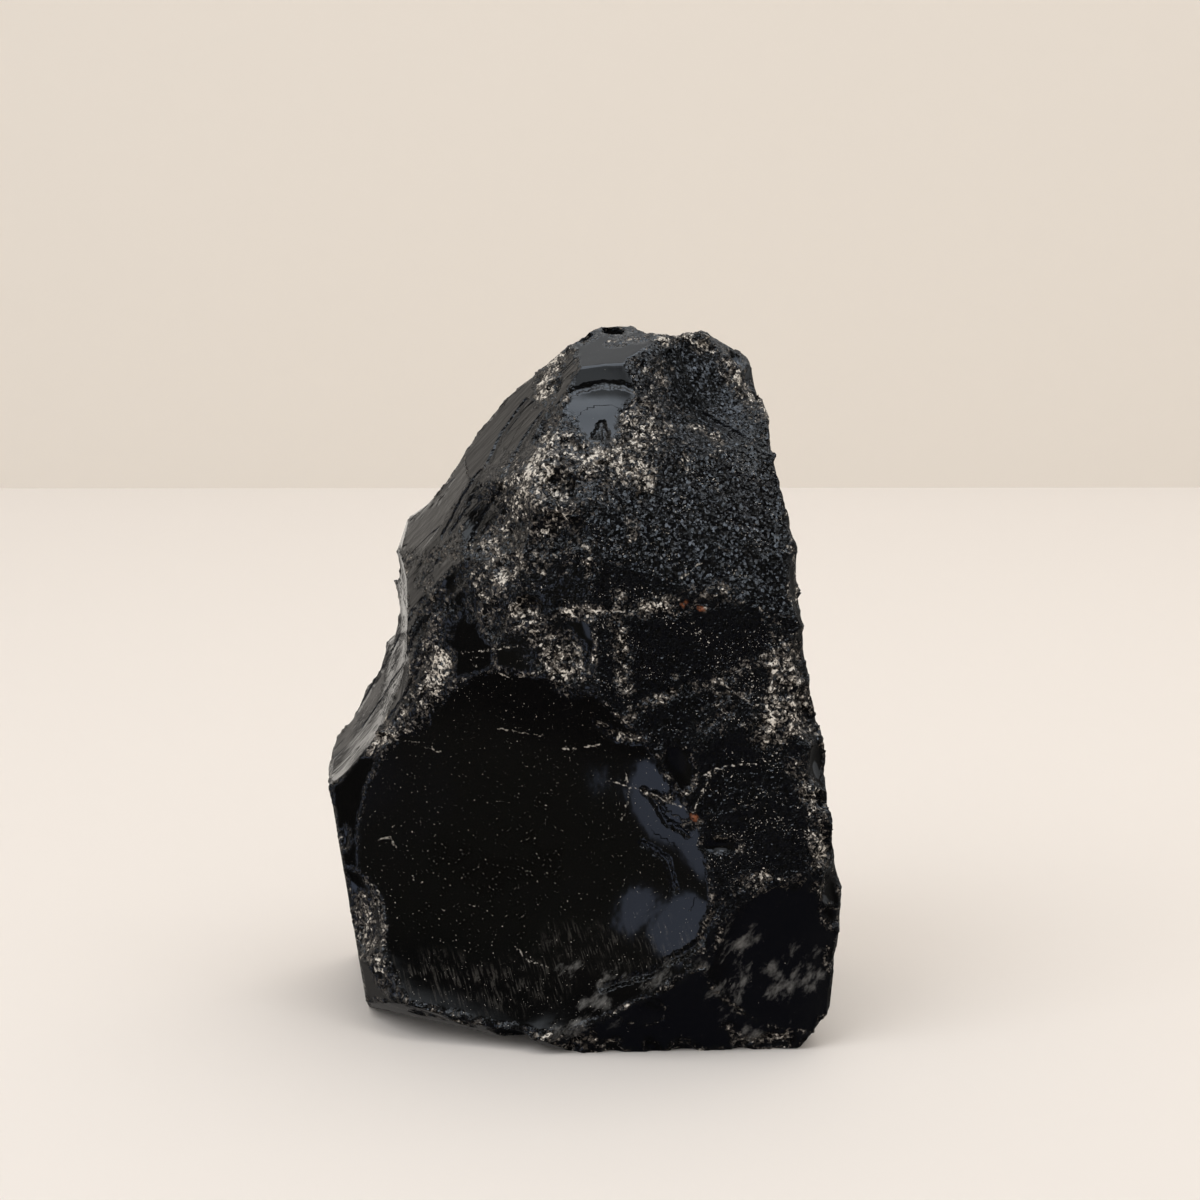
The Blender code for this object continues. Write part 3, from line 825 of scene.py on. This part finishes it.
def bake(thing: bpy.types.Object) -> bpy.types.Object:
    """Turn an object's live modifiers into its plain mesh and drop them."""
    graph = bpy.context.evaluated_depsgraph_get()
    mesh = bpy.data.meshes.new_from_object(thing.evaluated_get(graph))
    old = thing.data
    thing.modifiers.clear()
    thing.data = mesh
    bpy.data.meshes.remove(old)
    return thing


@dataclass(frozen=True)
class BlackGlass:
    """Opaque black volcanic glass, crushed to grey-white where it was struck, with pits whose glints are
    painted as bright dots, dust and rust.
    """

    black: Point = (0.0026, 0.0025, 0.0024)
    crushed: Point = (0.86, 0.80, 0.71)
    crushed_grey: Point = (0.21, 0.188, 0.162)
    crushed_dark: Point = (0.045, 0.037, 0.030)
    cloud: Point = (0.40, 0.39, 0.37)
    rust: Point = (0.36, 0.12, 0.05)
    ior: float = 1.49
    specular: float = 0.35
    gloss: float = 0.08
    pitted_gloss: float = 0.10
    crushed_gloss: float = 0.42
    shard_size: float = 0.60
    chip_size: float = 0.30
    shard_depth: float = 0.22
    chip_depth: float = 0.10
    # size of the bright specks: painted pit glints and dust specks
    speck_size: float = 0.26
    splinter_size: float = 0.36
    splinter_depth: float = 0.24
    grit_size: float = 0.45
    grit_depth: float = 0.06
    hole_sizes: Spot = (0.95, 0.50)
    hole_depths: Spot = (0.30, 0.16)
    wave_size: float = 3.2
    wave_depth: float = 0.035
    stripe_depth: float = 0.16
    gouge_depth: float = 0.26
    crack_depth: float = 0.60
    crack_reach: float = 0.85
    line_reach: float = 0.20
    line_share: float = 0.75
    # how strong the bright specks are: painted pit glints and dust specks
    dot_share: float = 0.85
    hackle_share: float = 0.045
    cloud_share: float = 0.47

    def build(self) -> bpy.types.Material:
        """Build the finish."""
        material = bpy.data.materials.new("black_glass")
        material.use_nodes = True
        wires = Wiring(material.node_tree)
        place = wires.add("ShaderNodeTexCoord").outputs["Object"]
        crush, pits, grit, dust, streaks = (self._mark(wires, name)
                                            for name in ("crush", "pits", "grit", "dust", "streaks"))
        wormy = self._warp(wires, place, 0.8, 0.35)
        level = self._level(wires, place, crush)
        cover, shard = self._shards(wires, wormy, level)
        pit_glints_and_dust = self._pit_glints_and_dust_specks(wires, place, wormy, pits, dust)
        dist = self._line_distance(wires, place)
        line = self._lines(wires, place, dist)
        hackle = self._hackles(wires, place)
        cloud = self._clouds(wires, place)
        tone = wires.ramp(wires.noise(place, 0.30, 3.0, 0.65), 0.30, 0.54)
        pale = self._mix(wires, tone, (*self.crushed_dark, 1.0), (*self.crushed, 1.0))
        thin = wires.larger(pit_glints_and_dust, wires.larger(line, hackle))
        base = self._mix(wires, cloud, (*self.black, 1.0), (*self.cloud, 1.0))
        base = self._mix(wires, cover, base, shard)
        # lay the pale specks (painted glints of the pits on the pitted faces, dust specks on the dusty ones),
        # with the pale lines and hackles
        base = self._mix(wires, thin, base, pale)
        white = wires.larger(cover, thin)
        rust = wires.times(self._mark(wires, "rust"), wires.ramp(wires.noise(place, 0.5), 0.35, 0.5))
        base = self._mix(wires, rust, base, (*self.rust, 1.0))
        rough = wires.add("ShaderNodeMix", {"Factor": grit, "A": self.gloss, "B": self.pitted_gloss})
        dull = wires.larger(wires.larger(white, cloud), rust)
        rough = wires.add("ShaderNodeMix", {"Factor": dull, "A": rough.outputs[0], "B": self.crushed_gloss})
        relief = self._grain(wires, wormy, level)
        relief = wires.plus(relief, self._worn(wires, place, grit, streaks))
        relief = wires.minus(relief, self._furrow(wires, dist))
        bump = wires.add("ShaderNodeBump", {"Height": relief, "Distance": MM, "Strength": 1.0}).outputs[0]
        feeds = {"Base Color": base, "Roughness": rough.outputs[0], "Normal": bump,
                 "IOR": self.ior, "Specular IOR Level": self.specular}
        shader = wires.add("ShaderNodeBsdfPrincipled", feeds)
        wires.add("ShaderNodeOutputMaterial", {"Surface": shader.outputs[0]})
        return material

    @staticmethod
    def _mark(wires: Wiring, name: str) -> Socket:
        """Read one of the skin's own numbers."""
        return wires.add("ShaderNodeAttribute", attribute_name=name).outputs["Fac"]

    @staticmethod
    def _mix(wires: Wiring, share: object, under: object, over: object) -> Socket:
        """Lay one colour over another by a share."""
        node = wires.add("ShaderNodeMix", data_type="RGBA")
        for key, value in (("Factor_Float", share), ("A_Color", under), ("B_Color", over)):
            socket = next(item for item in node.inputs if item.identifier == key)
            if isinstance(value, Socket):
                wires.tree.links.new(value, socket)
            else:
                socket.default_value = value
        return next(item for item in node.outputs if item.identifier == "Result_Color")

    @staticmethod
    def _warp(wires: Wiring, place: object, grain_mm: float, reach_mm: float) -> Socket:
        """Bend a place about, so that a pattern on it turns wormy."""
        shift = wires.shaken(place, grain_mm, 1.0, 2 * reach_mm * MM)
        return wires.vector("ADD", place, shift).outputs[0]

    @staticmethod
    def _level(wires: Wiring, place: object, crush: object) -> Socket:
        """Make the crushed zones patchy, so that they thin out unevenly from their hearts."""
        broad = wires.minus(wires.noise(place, 1.8, 3.0, 0.65), 0.5)
        wide = wires.minus(wires.noise(place, 7.0, 2.0, 0.5), 0.5)
        patches = wires.plus(wires.times(broad, 1.4), wires.times(wide, 1.2))
        patches = wires.times(patches, wires.ramp(crush, 0.02, 0.30))
        return wires.plus(crush, patches)

    def _shards(self, wires: Wiring, wormy: object, level: object,
                ) -> tuple[Socket, Socket]:
        """Break the crushed zones up into small shards, each with its own tone from near black to white.

        Args:
            wires: The material's wiring.
            wormy: Where on the surface, bent about.
            level: How crushed the glass is there.

        Returns:
            Where there is a shard, and its colour.
        """
        _, large = wires.splinters(wormy, self.shard_size)
        _, small = wires.splinters(wormy, self.chip_size)
        tone = wires.plus(wires.times(large, 0.38), wires.times(small, 0.42))
        tone = wires.plus(tone, wires.times(wires.noise(wormy, 0.24, 2.0, 0.6), 0.40))
        score = wires.plus(tone, wires.times(level, 0.52))
        score = wires.minus(score, 0.46)
        cover = wires.times(wires.ramp(score, 0.47, 0.56), wires.ramp(level, 0.14, 0.40))
        colour = wires.stops(score, ((0.50, (0.012, 0.010, 0.008)), (0.63, self.crushed_dark),
                                     (0.76, self.crushed_grey), (0.88, self.crushed)))
        return cover, colour

    def _pit_glints_and_dust_specks(self, wires: Wiring, place: object, wormy: object, pits: object, dust: object) -> Socket:
        """Scatter tiny bright specks: painted glints of the pits, in slanting bands on the pitted faces, and
        sparse dust specks on the dusty ones.
        """
        slant = wires.stretched(place, 28, (3.5, 1.0, 1.0))
        bands = wires.ramp(wires.noise(slant, 2.6, 3.0, 0.6), 0.44, 0.60)
        # the pits lower the cut, so the painted glints crowd in slanting bands on the pitted faces
        cut = wires.minus(0.872, wires.times(wires.plus(bands, 0.55), wires.times(pits, 0.145)))
        cut = wires.minus(cut, wires.times(dust, 0.165))
        dot = wires.ramp(wires.minus(wires.noise(wormy, self.speck_size, 2.0, 0.6), cut), 0.0, 0.045)
        return wires.times(dot, self.dot_share)

    @staticmethod
    def _line_distance(wires: Wiring, place: object) -> Socket:
        """Return the distance in mm to the nearest thin line or crack, with a slight waver."""
        away = wires.add("ShaderNodeAttribute", attribute_name="line_offset").outputs["Vector"]
        moved = wires.vector("ADD", away, wires.shaken(place, 0.9, 2.0, 0.9)).outputs[0]
        return wires.add("ShaderNodeVectorMath", {0: moved}, operation="LENGTH").outputs["Value"]

    def _lines(self, wires: Wiring, place: object, dist: object) -> Socket:
        """Draw the thin pale cracks and step edges, broken here and there."""
        broken = wires.ramp(wires.noise(place, 0.6, 3.0, 0.6), 0.44, 0.58, 0.0, self.line_share)
        edge = wires.ramp(dist, 0.06, self.line_reach, 1.0, 0.0)
        return wires.times(wires.times(edge, broken), self._mark(wires, "line"))

    def _furrow(self, wires: Wiring, dist: object) -> Socket:
        """Return how deep the cracks are cut, in mm."""
        depth = wires.ramp(dist, 0.05, self.crack_reach, self.crack_depth, 0.0)
        return wires.times(depth, self._mark(wires, "crack"))

    def _hackles(self, wires: Wiring, place: object) -> Socket:
        """Draw the fine rays that run out to the rim of the great scar."""
        steep = wires.stretched(place, 72, (7.0, 40.0, 1.0))
        rays = wires.ramp(wires.noise(steep, 0.30, 1.0, 0.5), 0.46, 0.66)
        worn = wires.ramp(wires.noise(place, 2.2, 3.0, 0.55), 0.36, 0.60)
        rays = wires.times(wires.times(rays, worn), self._mark(wires, "hackle"))
        return wires.times(rays, self.hackle_share)

    def _clouds(self, wires: Wiring, place: object) -> Socket:
        """Lay the soft cloudy smears of dust."""
        brushed = wires.stretched(place, -52, (1.9, 1.0, 1.0))
        puff = wires.minus(wires.noise(brushed, 2.4, 6.0, 0.66), 0.5)
        mark = self._mark(wires, "smear")
        level = wires.plus(mark, wires.times(puff, 5.5))
        level = wires.times(wires.ramp(level, 0.75, 2.30), wires.ramp(mark, 0.0, 0.60))
        return wires.times(level, self.cloud_share)

    def _grain(self, wires: Wiring, wormy: object, level: object) -> Socket:
        """Return the height of the crushed shards in mm."""
        large, _ = wires.splinters(wormy, self.shard_size)
        small, _ = wires.splinters(wormy, self.chip_size)
        grain = wires.plus(wires.times(large, self.shard_depth), wires.times(small, self.chip_depth))
        return wires.times(grain, wires.ramp(level, 0.10, 0.55))

    def _worn(self, wires: Wiring, place: object, pits: object, streaks: object) -> Socket:
        """Return the height in mm of the pits, the streaks and the faint waves.

        Args:
            wires: The material's wiring.
            place: Where on the surface.
            pits: Where it is pitted.
            streaks: Where it is streaked.

        Returns:
            The height.
        """
        chosen = wires.ramp(wires.noise(place, 2.0, 3.0, 0.6), 0.38, 0.52)
        holes = None
        for size, depth in zip(self.hole_sizes, self.hole_depths):
            cells = wires.add("ShaderNodeTexVoronoi", {"Vector": place, "Scale": 1.0 / (size * MM)})
            hole = wires.times(wires.ramp(cells.outputs["Distance"], 0.12, 0.40, -1.0, 0.0), depth)
            holes = hole if holes is None else wires.plus(holes, hole)
        tilted, _ = wires.splinters(place, self.splinter_size)
        grit = wires.plus(wires.times(tilted, self.splinter_depth),
                          wires.times(wires.noise(place, self.grit_size, 2.0, 0.6), self.grit_depth))
        pitted = wires.plus(wires.times(holes, chosen), grit)
        pitted = wires.times(pitted, pits)
        wave = wires.times(wires.noise(place, self.wave_size, 2.0, 0.45), self.wave_depth)
        long = wires.stretched(place, -46, (16.0, 4.0, 1.0))
        gouge = wires.times(wires.ramp(wires.noise(long, 1.3, 2.0), 0.58, 0.63), -self.gouge_depth)
        stripe = wires.plus(wires.times(wires.noise(long, 0.7, 3.0, 0.65), self.stripe_depth), gouge)
        line = wires.times(stripe, streaks)
        return wires.plus(pitted, wires.plus(wave, line))


@dataclass
class Chunk:
    """The chunk itself: its fine skin, the marks on it and its finish. Sizes are in mm."""

    shape: BrokenShape
    front: FrontView
    glass: BlackGlass = field(default_factory=BlackGlass)
    relief: CrushedRelief = field(default_factory=CrushedRelief)
    skin_cell: float = 0.46
    kept_share: float = 0.66
    ridge_breadth: float = 1.0
    ridge_strength: float = 0.58
    base_margin: float = 0.4
    trail_step_px: float = 5.0
    line_step_px: float = 22.0
    trail_peak: float = 1.45
    trail_fall: float = 0.75
    unlined: float = 99.0
    sharp_angle: float = 38.0

    def build(self, solid: bpy.types.Object) -> bpy.types.Object:
        """Make the finished chunk from its solid.

        Args:
            solid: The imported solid.

        Returns:
            The finished piece.
        """
        skin = self._fine_copy(solid)
        points = self.shape.settle(vectors(skin.data.vertices, "co") / MM)
        skin.data.vertices.foreach_set("co", (points * MM).ravel())
        skin.data.update()
        self._mark(skin, points)
        skin = self.relief.carve(skin, self.glass.build())
        self._finish_edges(skin)
        LOG.info("%s: %d points, %d faces", skin.name, len(skin.data.vertices), len(skin.data.polygons))
        return skin

    def _fine_copy(self, solid: bpy.types.Object) -> bpy.types.Object:
        """Copy the solid and skin it with an even fine mesh."""
        bm = bmesh.new()
        bm.from_mesh(solid.data)
        bmesh.ops.remove_doubles(bm, verts=bm.verts, dist=1e-6)
        mesh = bpy.data.meshes.new("glass_chunk")
        bm.to_mesh(mesh)
        bm.free()
        skin = bpy.data.objects.new("glass_chunk", mesh)
        bpy.context.scene.collection.objects.link(skin)
        remesh = skin.modifiers.new("skin", "REMESH")
        remesh.mode = "VOXEL"
        remesh.voxel_size = self.skin_cell * MM
        return self._thin(bake(skin))

    def _thin(self, skin: bpy.types.Object) -> bpy.types.Object:
        """Give the base and the far sides a coarser mesh than the front."""
        turned = vectors(skin.data.vertex_normals, "vector")
        far = skin.vertex_groups.new(name="far")
        behind = (turned[:, 1] > 0.1) & (turned[:, 2] < 0.75)
        for rows, weight in ((behind, FAR_BEHIND), (turned[:, 2] < -0.97, UNSEEN)):
            far.add(np.flatnonzero(rows).tolist(), weight, "REPLACE")
        thin = skin.modifiers.new("thin", "DECIMATE")
        thin.ratio = self.kept_share
        thin.vertex_group = far.name
        bake(skin)
        skin.vertex_groups.clear()
        return skin

    def _mark(self, skin: bpy.types.Object, points: np.ndarray) -> None:
        """Store how crushed, pitted, dusty or streaked the glass is at each point.

        Args:
            skin: The skin.
            points: Its points in mm.
        """
        _, _, owner, ridge = self.shape.measure(points)
        shares = {name: np.array([SKIN_SHARES[skin].get(name, 0.0) for skin in self.shape.skins])[owner]
                  for name in ("crush", "pits", "grit", "dust", "streaks")}
        names = np.array(self.shape.names)[owner]
        edge = np.clip(1.0 - ridge / self.ridge_breadth, 0.0, 1.0) * self.ridge_strength
        trails = self._trails(points)
        crush = np.maximum(edge, trails.pop(Mark.CRUSH)) + shares.pop("crush")
        crush *= 1.0 - trails.pop(Mark.CLEAN)
        free = np.clip((points[:, 2] - self.base_margin) / 2.0, 0.0, 1.0)
        free[names == "base"] = 0.0
        marks = {
            "crush": crush,
            "free": free,
            **shares,
            **{mark.value: values for mark, values in trails.items()},
        }
        offset, marks["line"], marks["crack"] = self._lines(points)
        for name, values in marks.items():
            attribute = skin.data.attributes.new(name, "FLOAT", "POINT")
            attribute.data.foreach_set("value", values.astype(np.float32))
        attribute = skin.data.attributes.new("line_offset", "FLOAT_VECTOR", "POINT")
        attribute.data.foreach_set("vector", offset.astype(np.float32).ravel())

    def _lines(self, points: np.ndarray) -> tuple[np.ndarray, np.ndarray, np.ndarray]:
        """Find the thin line or crack that runs nearest to each point.

        Args:
            points: Points in mm.

        Returns:
            Each point's offset from that line in mm, and how pale and how deep the line is.
        """
        spots, away = self.front.project(points * MM)
        nearest = np.full(len(points), np.inf)
        offset = np.full((len(points), 3), self.unlined)
        looks = {mark: np.zeros(len(points)) for mark in DRAWN}
        for drawn, trail in ((mark, trail) for mark in DRAWN for trail in TRAILS[mark]):
            paced = self._paced(trail, self.line_step_px)
            touched = [points[self.front.touch(spot, spots, away)] for spot in paced]
            for start, end in zip(touched, touched[1:]):
                run = end - start
                share = np.clip((points - start) @ run / max(run @ run, 1e-6), 0.0, 1.0)
                gap = points - (start + share[:, None] * run)
                far = np.linalg.norm(gap, axis=1)
                closer = far < nearest
                nearest[closer], offset[closer] = far[closer], gap[closer]
                for mark, values in looks.items():
                    values[closer] = trail.strength if mark is drawn else 0.0
        return offset, looks[Mark.LINE], looks[Mark.CRACK]

    @staticmethod
    def _paced(trail: Trail, step_px: float) -> list[Spot]:
        """Return the spots along a trail, no further than a step apart."""
        paced = [trail.spots[0]]
        for start, end in zip(trail.spots, trail.spots[1:]):
            steps = max(1, math.ceil(math.dist(start, end) / step_px))
            across, down = end[0] - start[0], end[1] - start[1]
            paced += [(start[0] + across * number / steps, start[1] + down * number / steps)
                      for number in range(1, steps + 1)]
        return paced

    def _trails(self, points: np.ndarray) -> dict[Mark, np.ndarray]:
        """Work out how strongly each point is marked by the trails that run over the front.

        Args:
            points: Points in mm.

        Returns:
            A number from 0 to 1 for each point, for each kind of mark.
        """
        spots, away = self.front.project(points * MM)
        marked = {mark: np.zeros(len(points)) for mark in Mark if mark not in DRAWN}
        for mark, trail in ((mark, trail) for mark in marked for trail in TRAILS[mark]):
            for spot in self._paced(trail, self.trail_step_px):
                centre = points[self.front.touch(spot, spots, away)]
                far = np.linalg.norm(points - centre, axis=1) / trail.breadth
                near = trail.strength * np.clip(self.trail_peak - self.trail_fall * far, 0.0, 1.0)
                marked[mark] = np.maximum(marked[mark], near)
        return marked

    def _finish_edges(self, skin: bpy.types.Object) -> None:
        """Shade the skin smooth, with its ridges and grains kept sharp."""
        skin.data.shade_smooth()
        skin.data.set_sharp_from_angle(angle=math.radians(self.sharp_angle))


@dataclass(frozen=True)
class SkyPatch:
    """A patch of the studio that only the glass's gloss sees: where it is, in degrees, and how bright."""

    name: str
    height: float
    turn: float
    breadth: float
    softness: float
    colour: Point
    strength: float

    def way(self) -> Point:
        """Return the direction toward the patch's middle; a turn of zero is straight out in front."""
        height, turn = math.radians(self.height), math.radians(self.turn)
        return (math.sin(turn) * math.cos(height), -math.cos(turn) * math.cos(height), math.sin(height))

    def reach(self) -> tuple[float, float]:
        """Return the cosines where the patch begins and where it is full."""
        outer, inner = self.breadth + self.softness / 2, max(self.breadth - self.softness / 2, 0.0)
        return math.cos(math.radians(outer)), math.cos(math.radians(inner))


SKY_PATCHES = (
    SkyPatch("overhead", 88, 0, 21, 8, (0.83, 0.92, 1.04), 3.6),
    SkyPatch("overhead_haze", 60, 0, 16, 16, (0.86, 0.93, 1.0), 1.3),
    SkyPatch("upper_right", 62, 80, 20, 6, (0.80, 0.92, 1.08), 2.2),
    SkyPatch("upper_left", 55, -72, 17, 6, (0.86, 0.93, 1.0), 2.4),
    SkyPatch("window_low", -26, -73.2, 16.4, 1.5, (0.72, 0.85, 1.18), 0.95),
    SkyPatch("window_high", 6, -59, 12.0, 1.5, (0.72, 0.85, 1.18), 1.05),
    SkyPatch("back_left", 22, -124, 25, 8, (1.0, 0.93, 0.85), 0.75),
    SkyPatch("back_left_haze", 15, -140, 52, 24, (1.0, 0.93, 0.85), 0.22),
    SkyPatch("back_left_door", -4, -166, 15, 6, (1.0, 0.95, 0.88), 0.65),
    SkyPatch("back_top", 52, 180, 24, 8, (0.94, 0.97, 1.0), 1.2),
    SkyPatch("back_window", 26, 148, 15, 3, (0.9, 0.95, 1.0), 0.9),
    SkyPatch("right_window", 8, 104, 15, 3, (0.9, 0.95, 1.0), 0.7),
    SkyPatch("back_right_haze", 10, 125, 52, 24, (1.0, 0.95, 0.88), 0.14),
    SkyPatch("front_left", -10, -30, 40, 25, (1.0, 0.95, 0.75), 0.06),
    SkyPatch("front_right", -25, 16, 35, 20, (0.5, 0.6, 1.2), 0.06),
)


@dataclass(frozen=True)
class Studio:
    """The pale floor, the pale wall behind, the soft lights and the air round them, in metres."""

    floor_colour: Point = (0.86, 0.81, 0.76)
    wall_colour: Point = (0.868, 0.81, 0.735)
    wall_distance: float = 0.505
    floor_reach: float = 3.0
    air: float = 0.62
    gloom: Point = (0.02, 0.02, 0.022)

    def build(self) -> None:
        """Set the whole studio up."""
        self._surface("floor", ((-1, -1, 0), (1, -1, 0), (1, 1, 0), (-1, 1, 0)), self.floor_colour,
                      Vector((0, self.wall_distance - self.floor_reach, 0)), self.floor_reach)
        self._surface("wall", ((-1, 0, 0), (1, 0, 0), (1, 0, 1), (-1, 0, 1)), self.wall_colour,
                      Vector((0, self.wall_distance, 0)), self.floor_reach)
        self._air()
        self._lights()
        scene = bpy.context.scene
        scene.view_settings.view_transform = "Standard"
        scene.view_settings.look = "None"

    @staticmethod
    def _surface(name: str, corners: tuple[Point, ...], colour: Point, place: Vector, reach: float) -> None:
        """Lay one plain surface of the studio.

        Args:
            name: Its name.
            corners: Its corners for a reach of one.
            colour: Its colour.
            place: Where it stands.
            reach: How far it goes each way.
        """
        mesh = bpy.data.meshes.new(name)
        mesh.from_pydata([place + Vector(corner) * reach for corner in corners], [], [(0, 1, 2, 3)])
        material = bpy.data.materials.new(f"studio_{name}")
        material.use_nodes = True
        shader = material.node_tree.nodes["Principled BSDF"]
        shader.inputs["Base Color"].default_value = (*colour, 1.0)
        shader.inputs["Roughness"].default_value = 0.9
        shader.inputs["Specular IOR Level"].default_value = 0.1
        mesh.materials.append(material)
        surface = bpy.data.objects.new(name, mesh)
        surface.visible_glossy = False
        bpy.context.scene.collection.objects.link(surface)

    def _air(self) -> None:
        """Fill the room with even light, and with the patches that the gloss sees."""
        world = bpy.data.worlds.new("studio_air")
        world.use_nodes = True
        bpy.context.scene.world = world
        wires = Wiring(world.node_tree)
        way = wires.add("ShaderNodeTexCoord").outputs["Generated"]
        glow = wires.add("ShaderNodeCombineXYZ", dict(enumerate(self.gloom))).outputs[0]
        for patch in SKY_PATCHES:
            near = wires.vector("DOT_PRODUCT", way, patch.way()).outputs["Value"]
            share = wires.ramp(near, *patch.reach())
            tint = tuple(part * patch.strength for part in patch.colour)
            glow = wires.add("ShaderNodeVectorMath", {0: tint, 1: self._spread(wires, share), 2: glow},
                             operation="MULTIPLY_ADD").outputs[0]
        seen = wires.add("ShaderNodeBackground", {"Color": glow, "Strength": 1.0})
        even = wires.add("ShaderNodeBackground", {"Color": (1.0, 0.985, 0.97, 1.0), "Strength": self.air})
        glossy = wires.add("ShaderNodeLightPath").outputs["Is Glossy Ray"]
        mixed = wires.add("ShaderNodeMixShader", {0: glossy, 1: even.outputs[0], 2: seen.outputs[0]})
        wires.add("ShaderNodeOutputWorld", {0: mixed.outputs[0]})

    @staticmethod
    def _spread(wires: Wiring, share: object) -> Socket:
        """Put one number in all three parts of a vector."""
        return wires.add("ShaderNodeCombineXYZ", {0: share, 1: share, 2: share}).outputs[0]

    @staticmethod
    def _lights() -> None:
        """Hang the soft lights."""
        for name, place, size, power, colour in (
            ("window", (-0.40, -0.42, 0.75), 0.6, 2.2, (0.92, 0.95, 1.0)),
            ("overhead", (0.28, 0.02, 1.0), 0.9, 3.6, (1.0, 0.985, 0.965)),
        ):
            data = bpy.data.lights.new(name, "AREA")
            data.shape = "SQUARE"
            data.size = size
            data.energy = power
            data.color = colour
            light = bpy.data.objects.new(name, data)
            turn = (Vector((0, 0, 0.05)) - Vector(place)).to_track_quat("-Z", "Y").to_matrix().to_4x4()
            light.matrix_world = Matrix.Translation(place) @ turn
            light.visible_glossy = False
            bpy.context.scene.collection.objects.link(light)


def main() -> None:
    """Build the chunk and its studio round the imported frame."""
    logging.basicConfig(level=logging.INFO, format="%(name)s: %(message)s")
    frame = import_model()
    front = FrontView()
    front.build()
    chunk = Chunk(BrokenShape(), front).build(frame["nodes"][NODE])
    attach(chunk, "root")
    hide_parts(NODE)
    Studio().build()


if __name__ == "__main__":
    main()
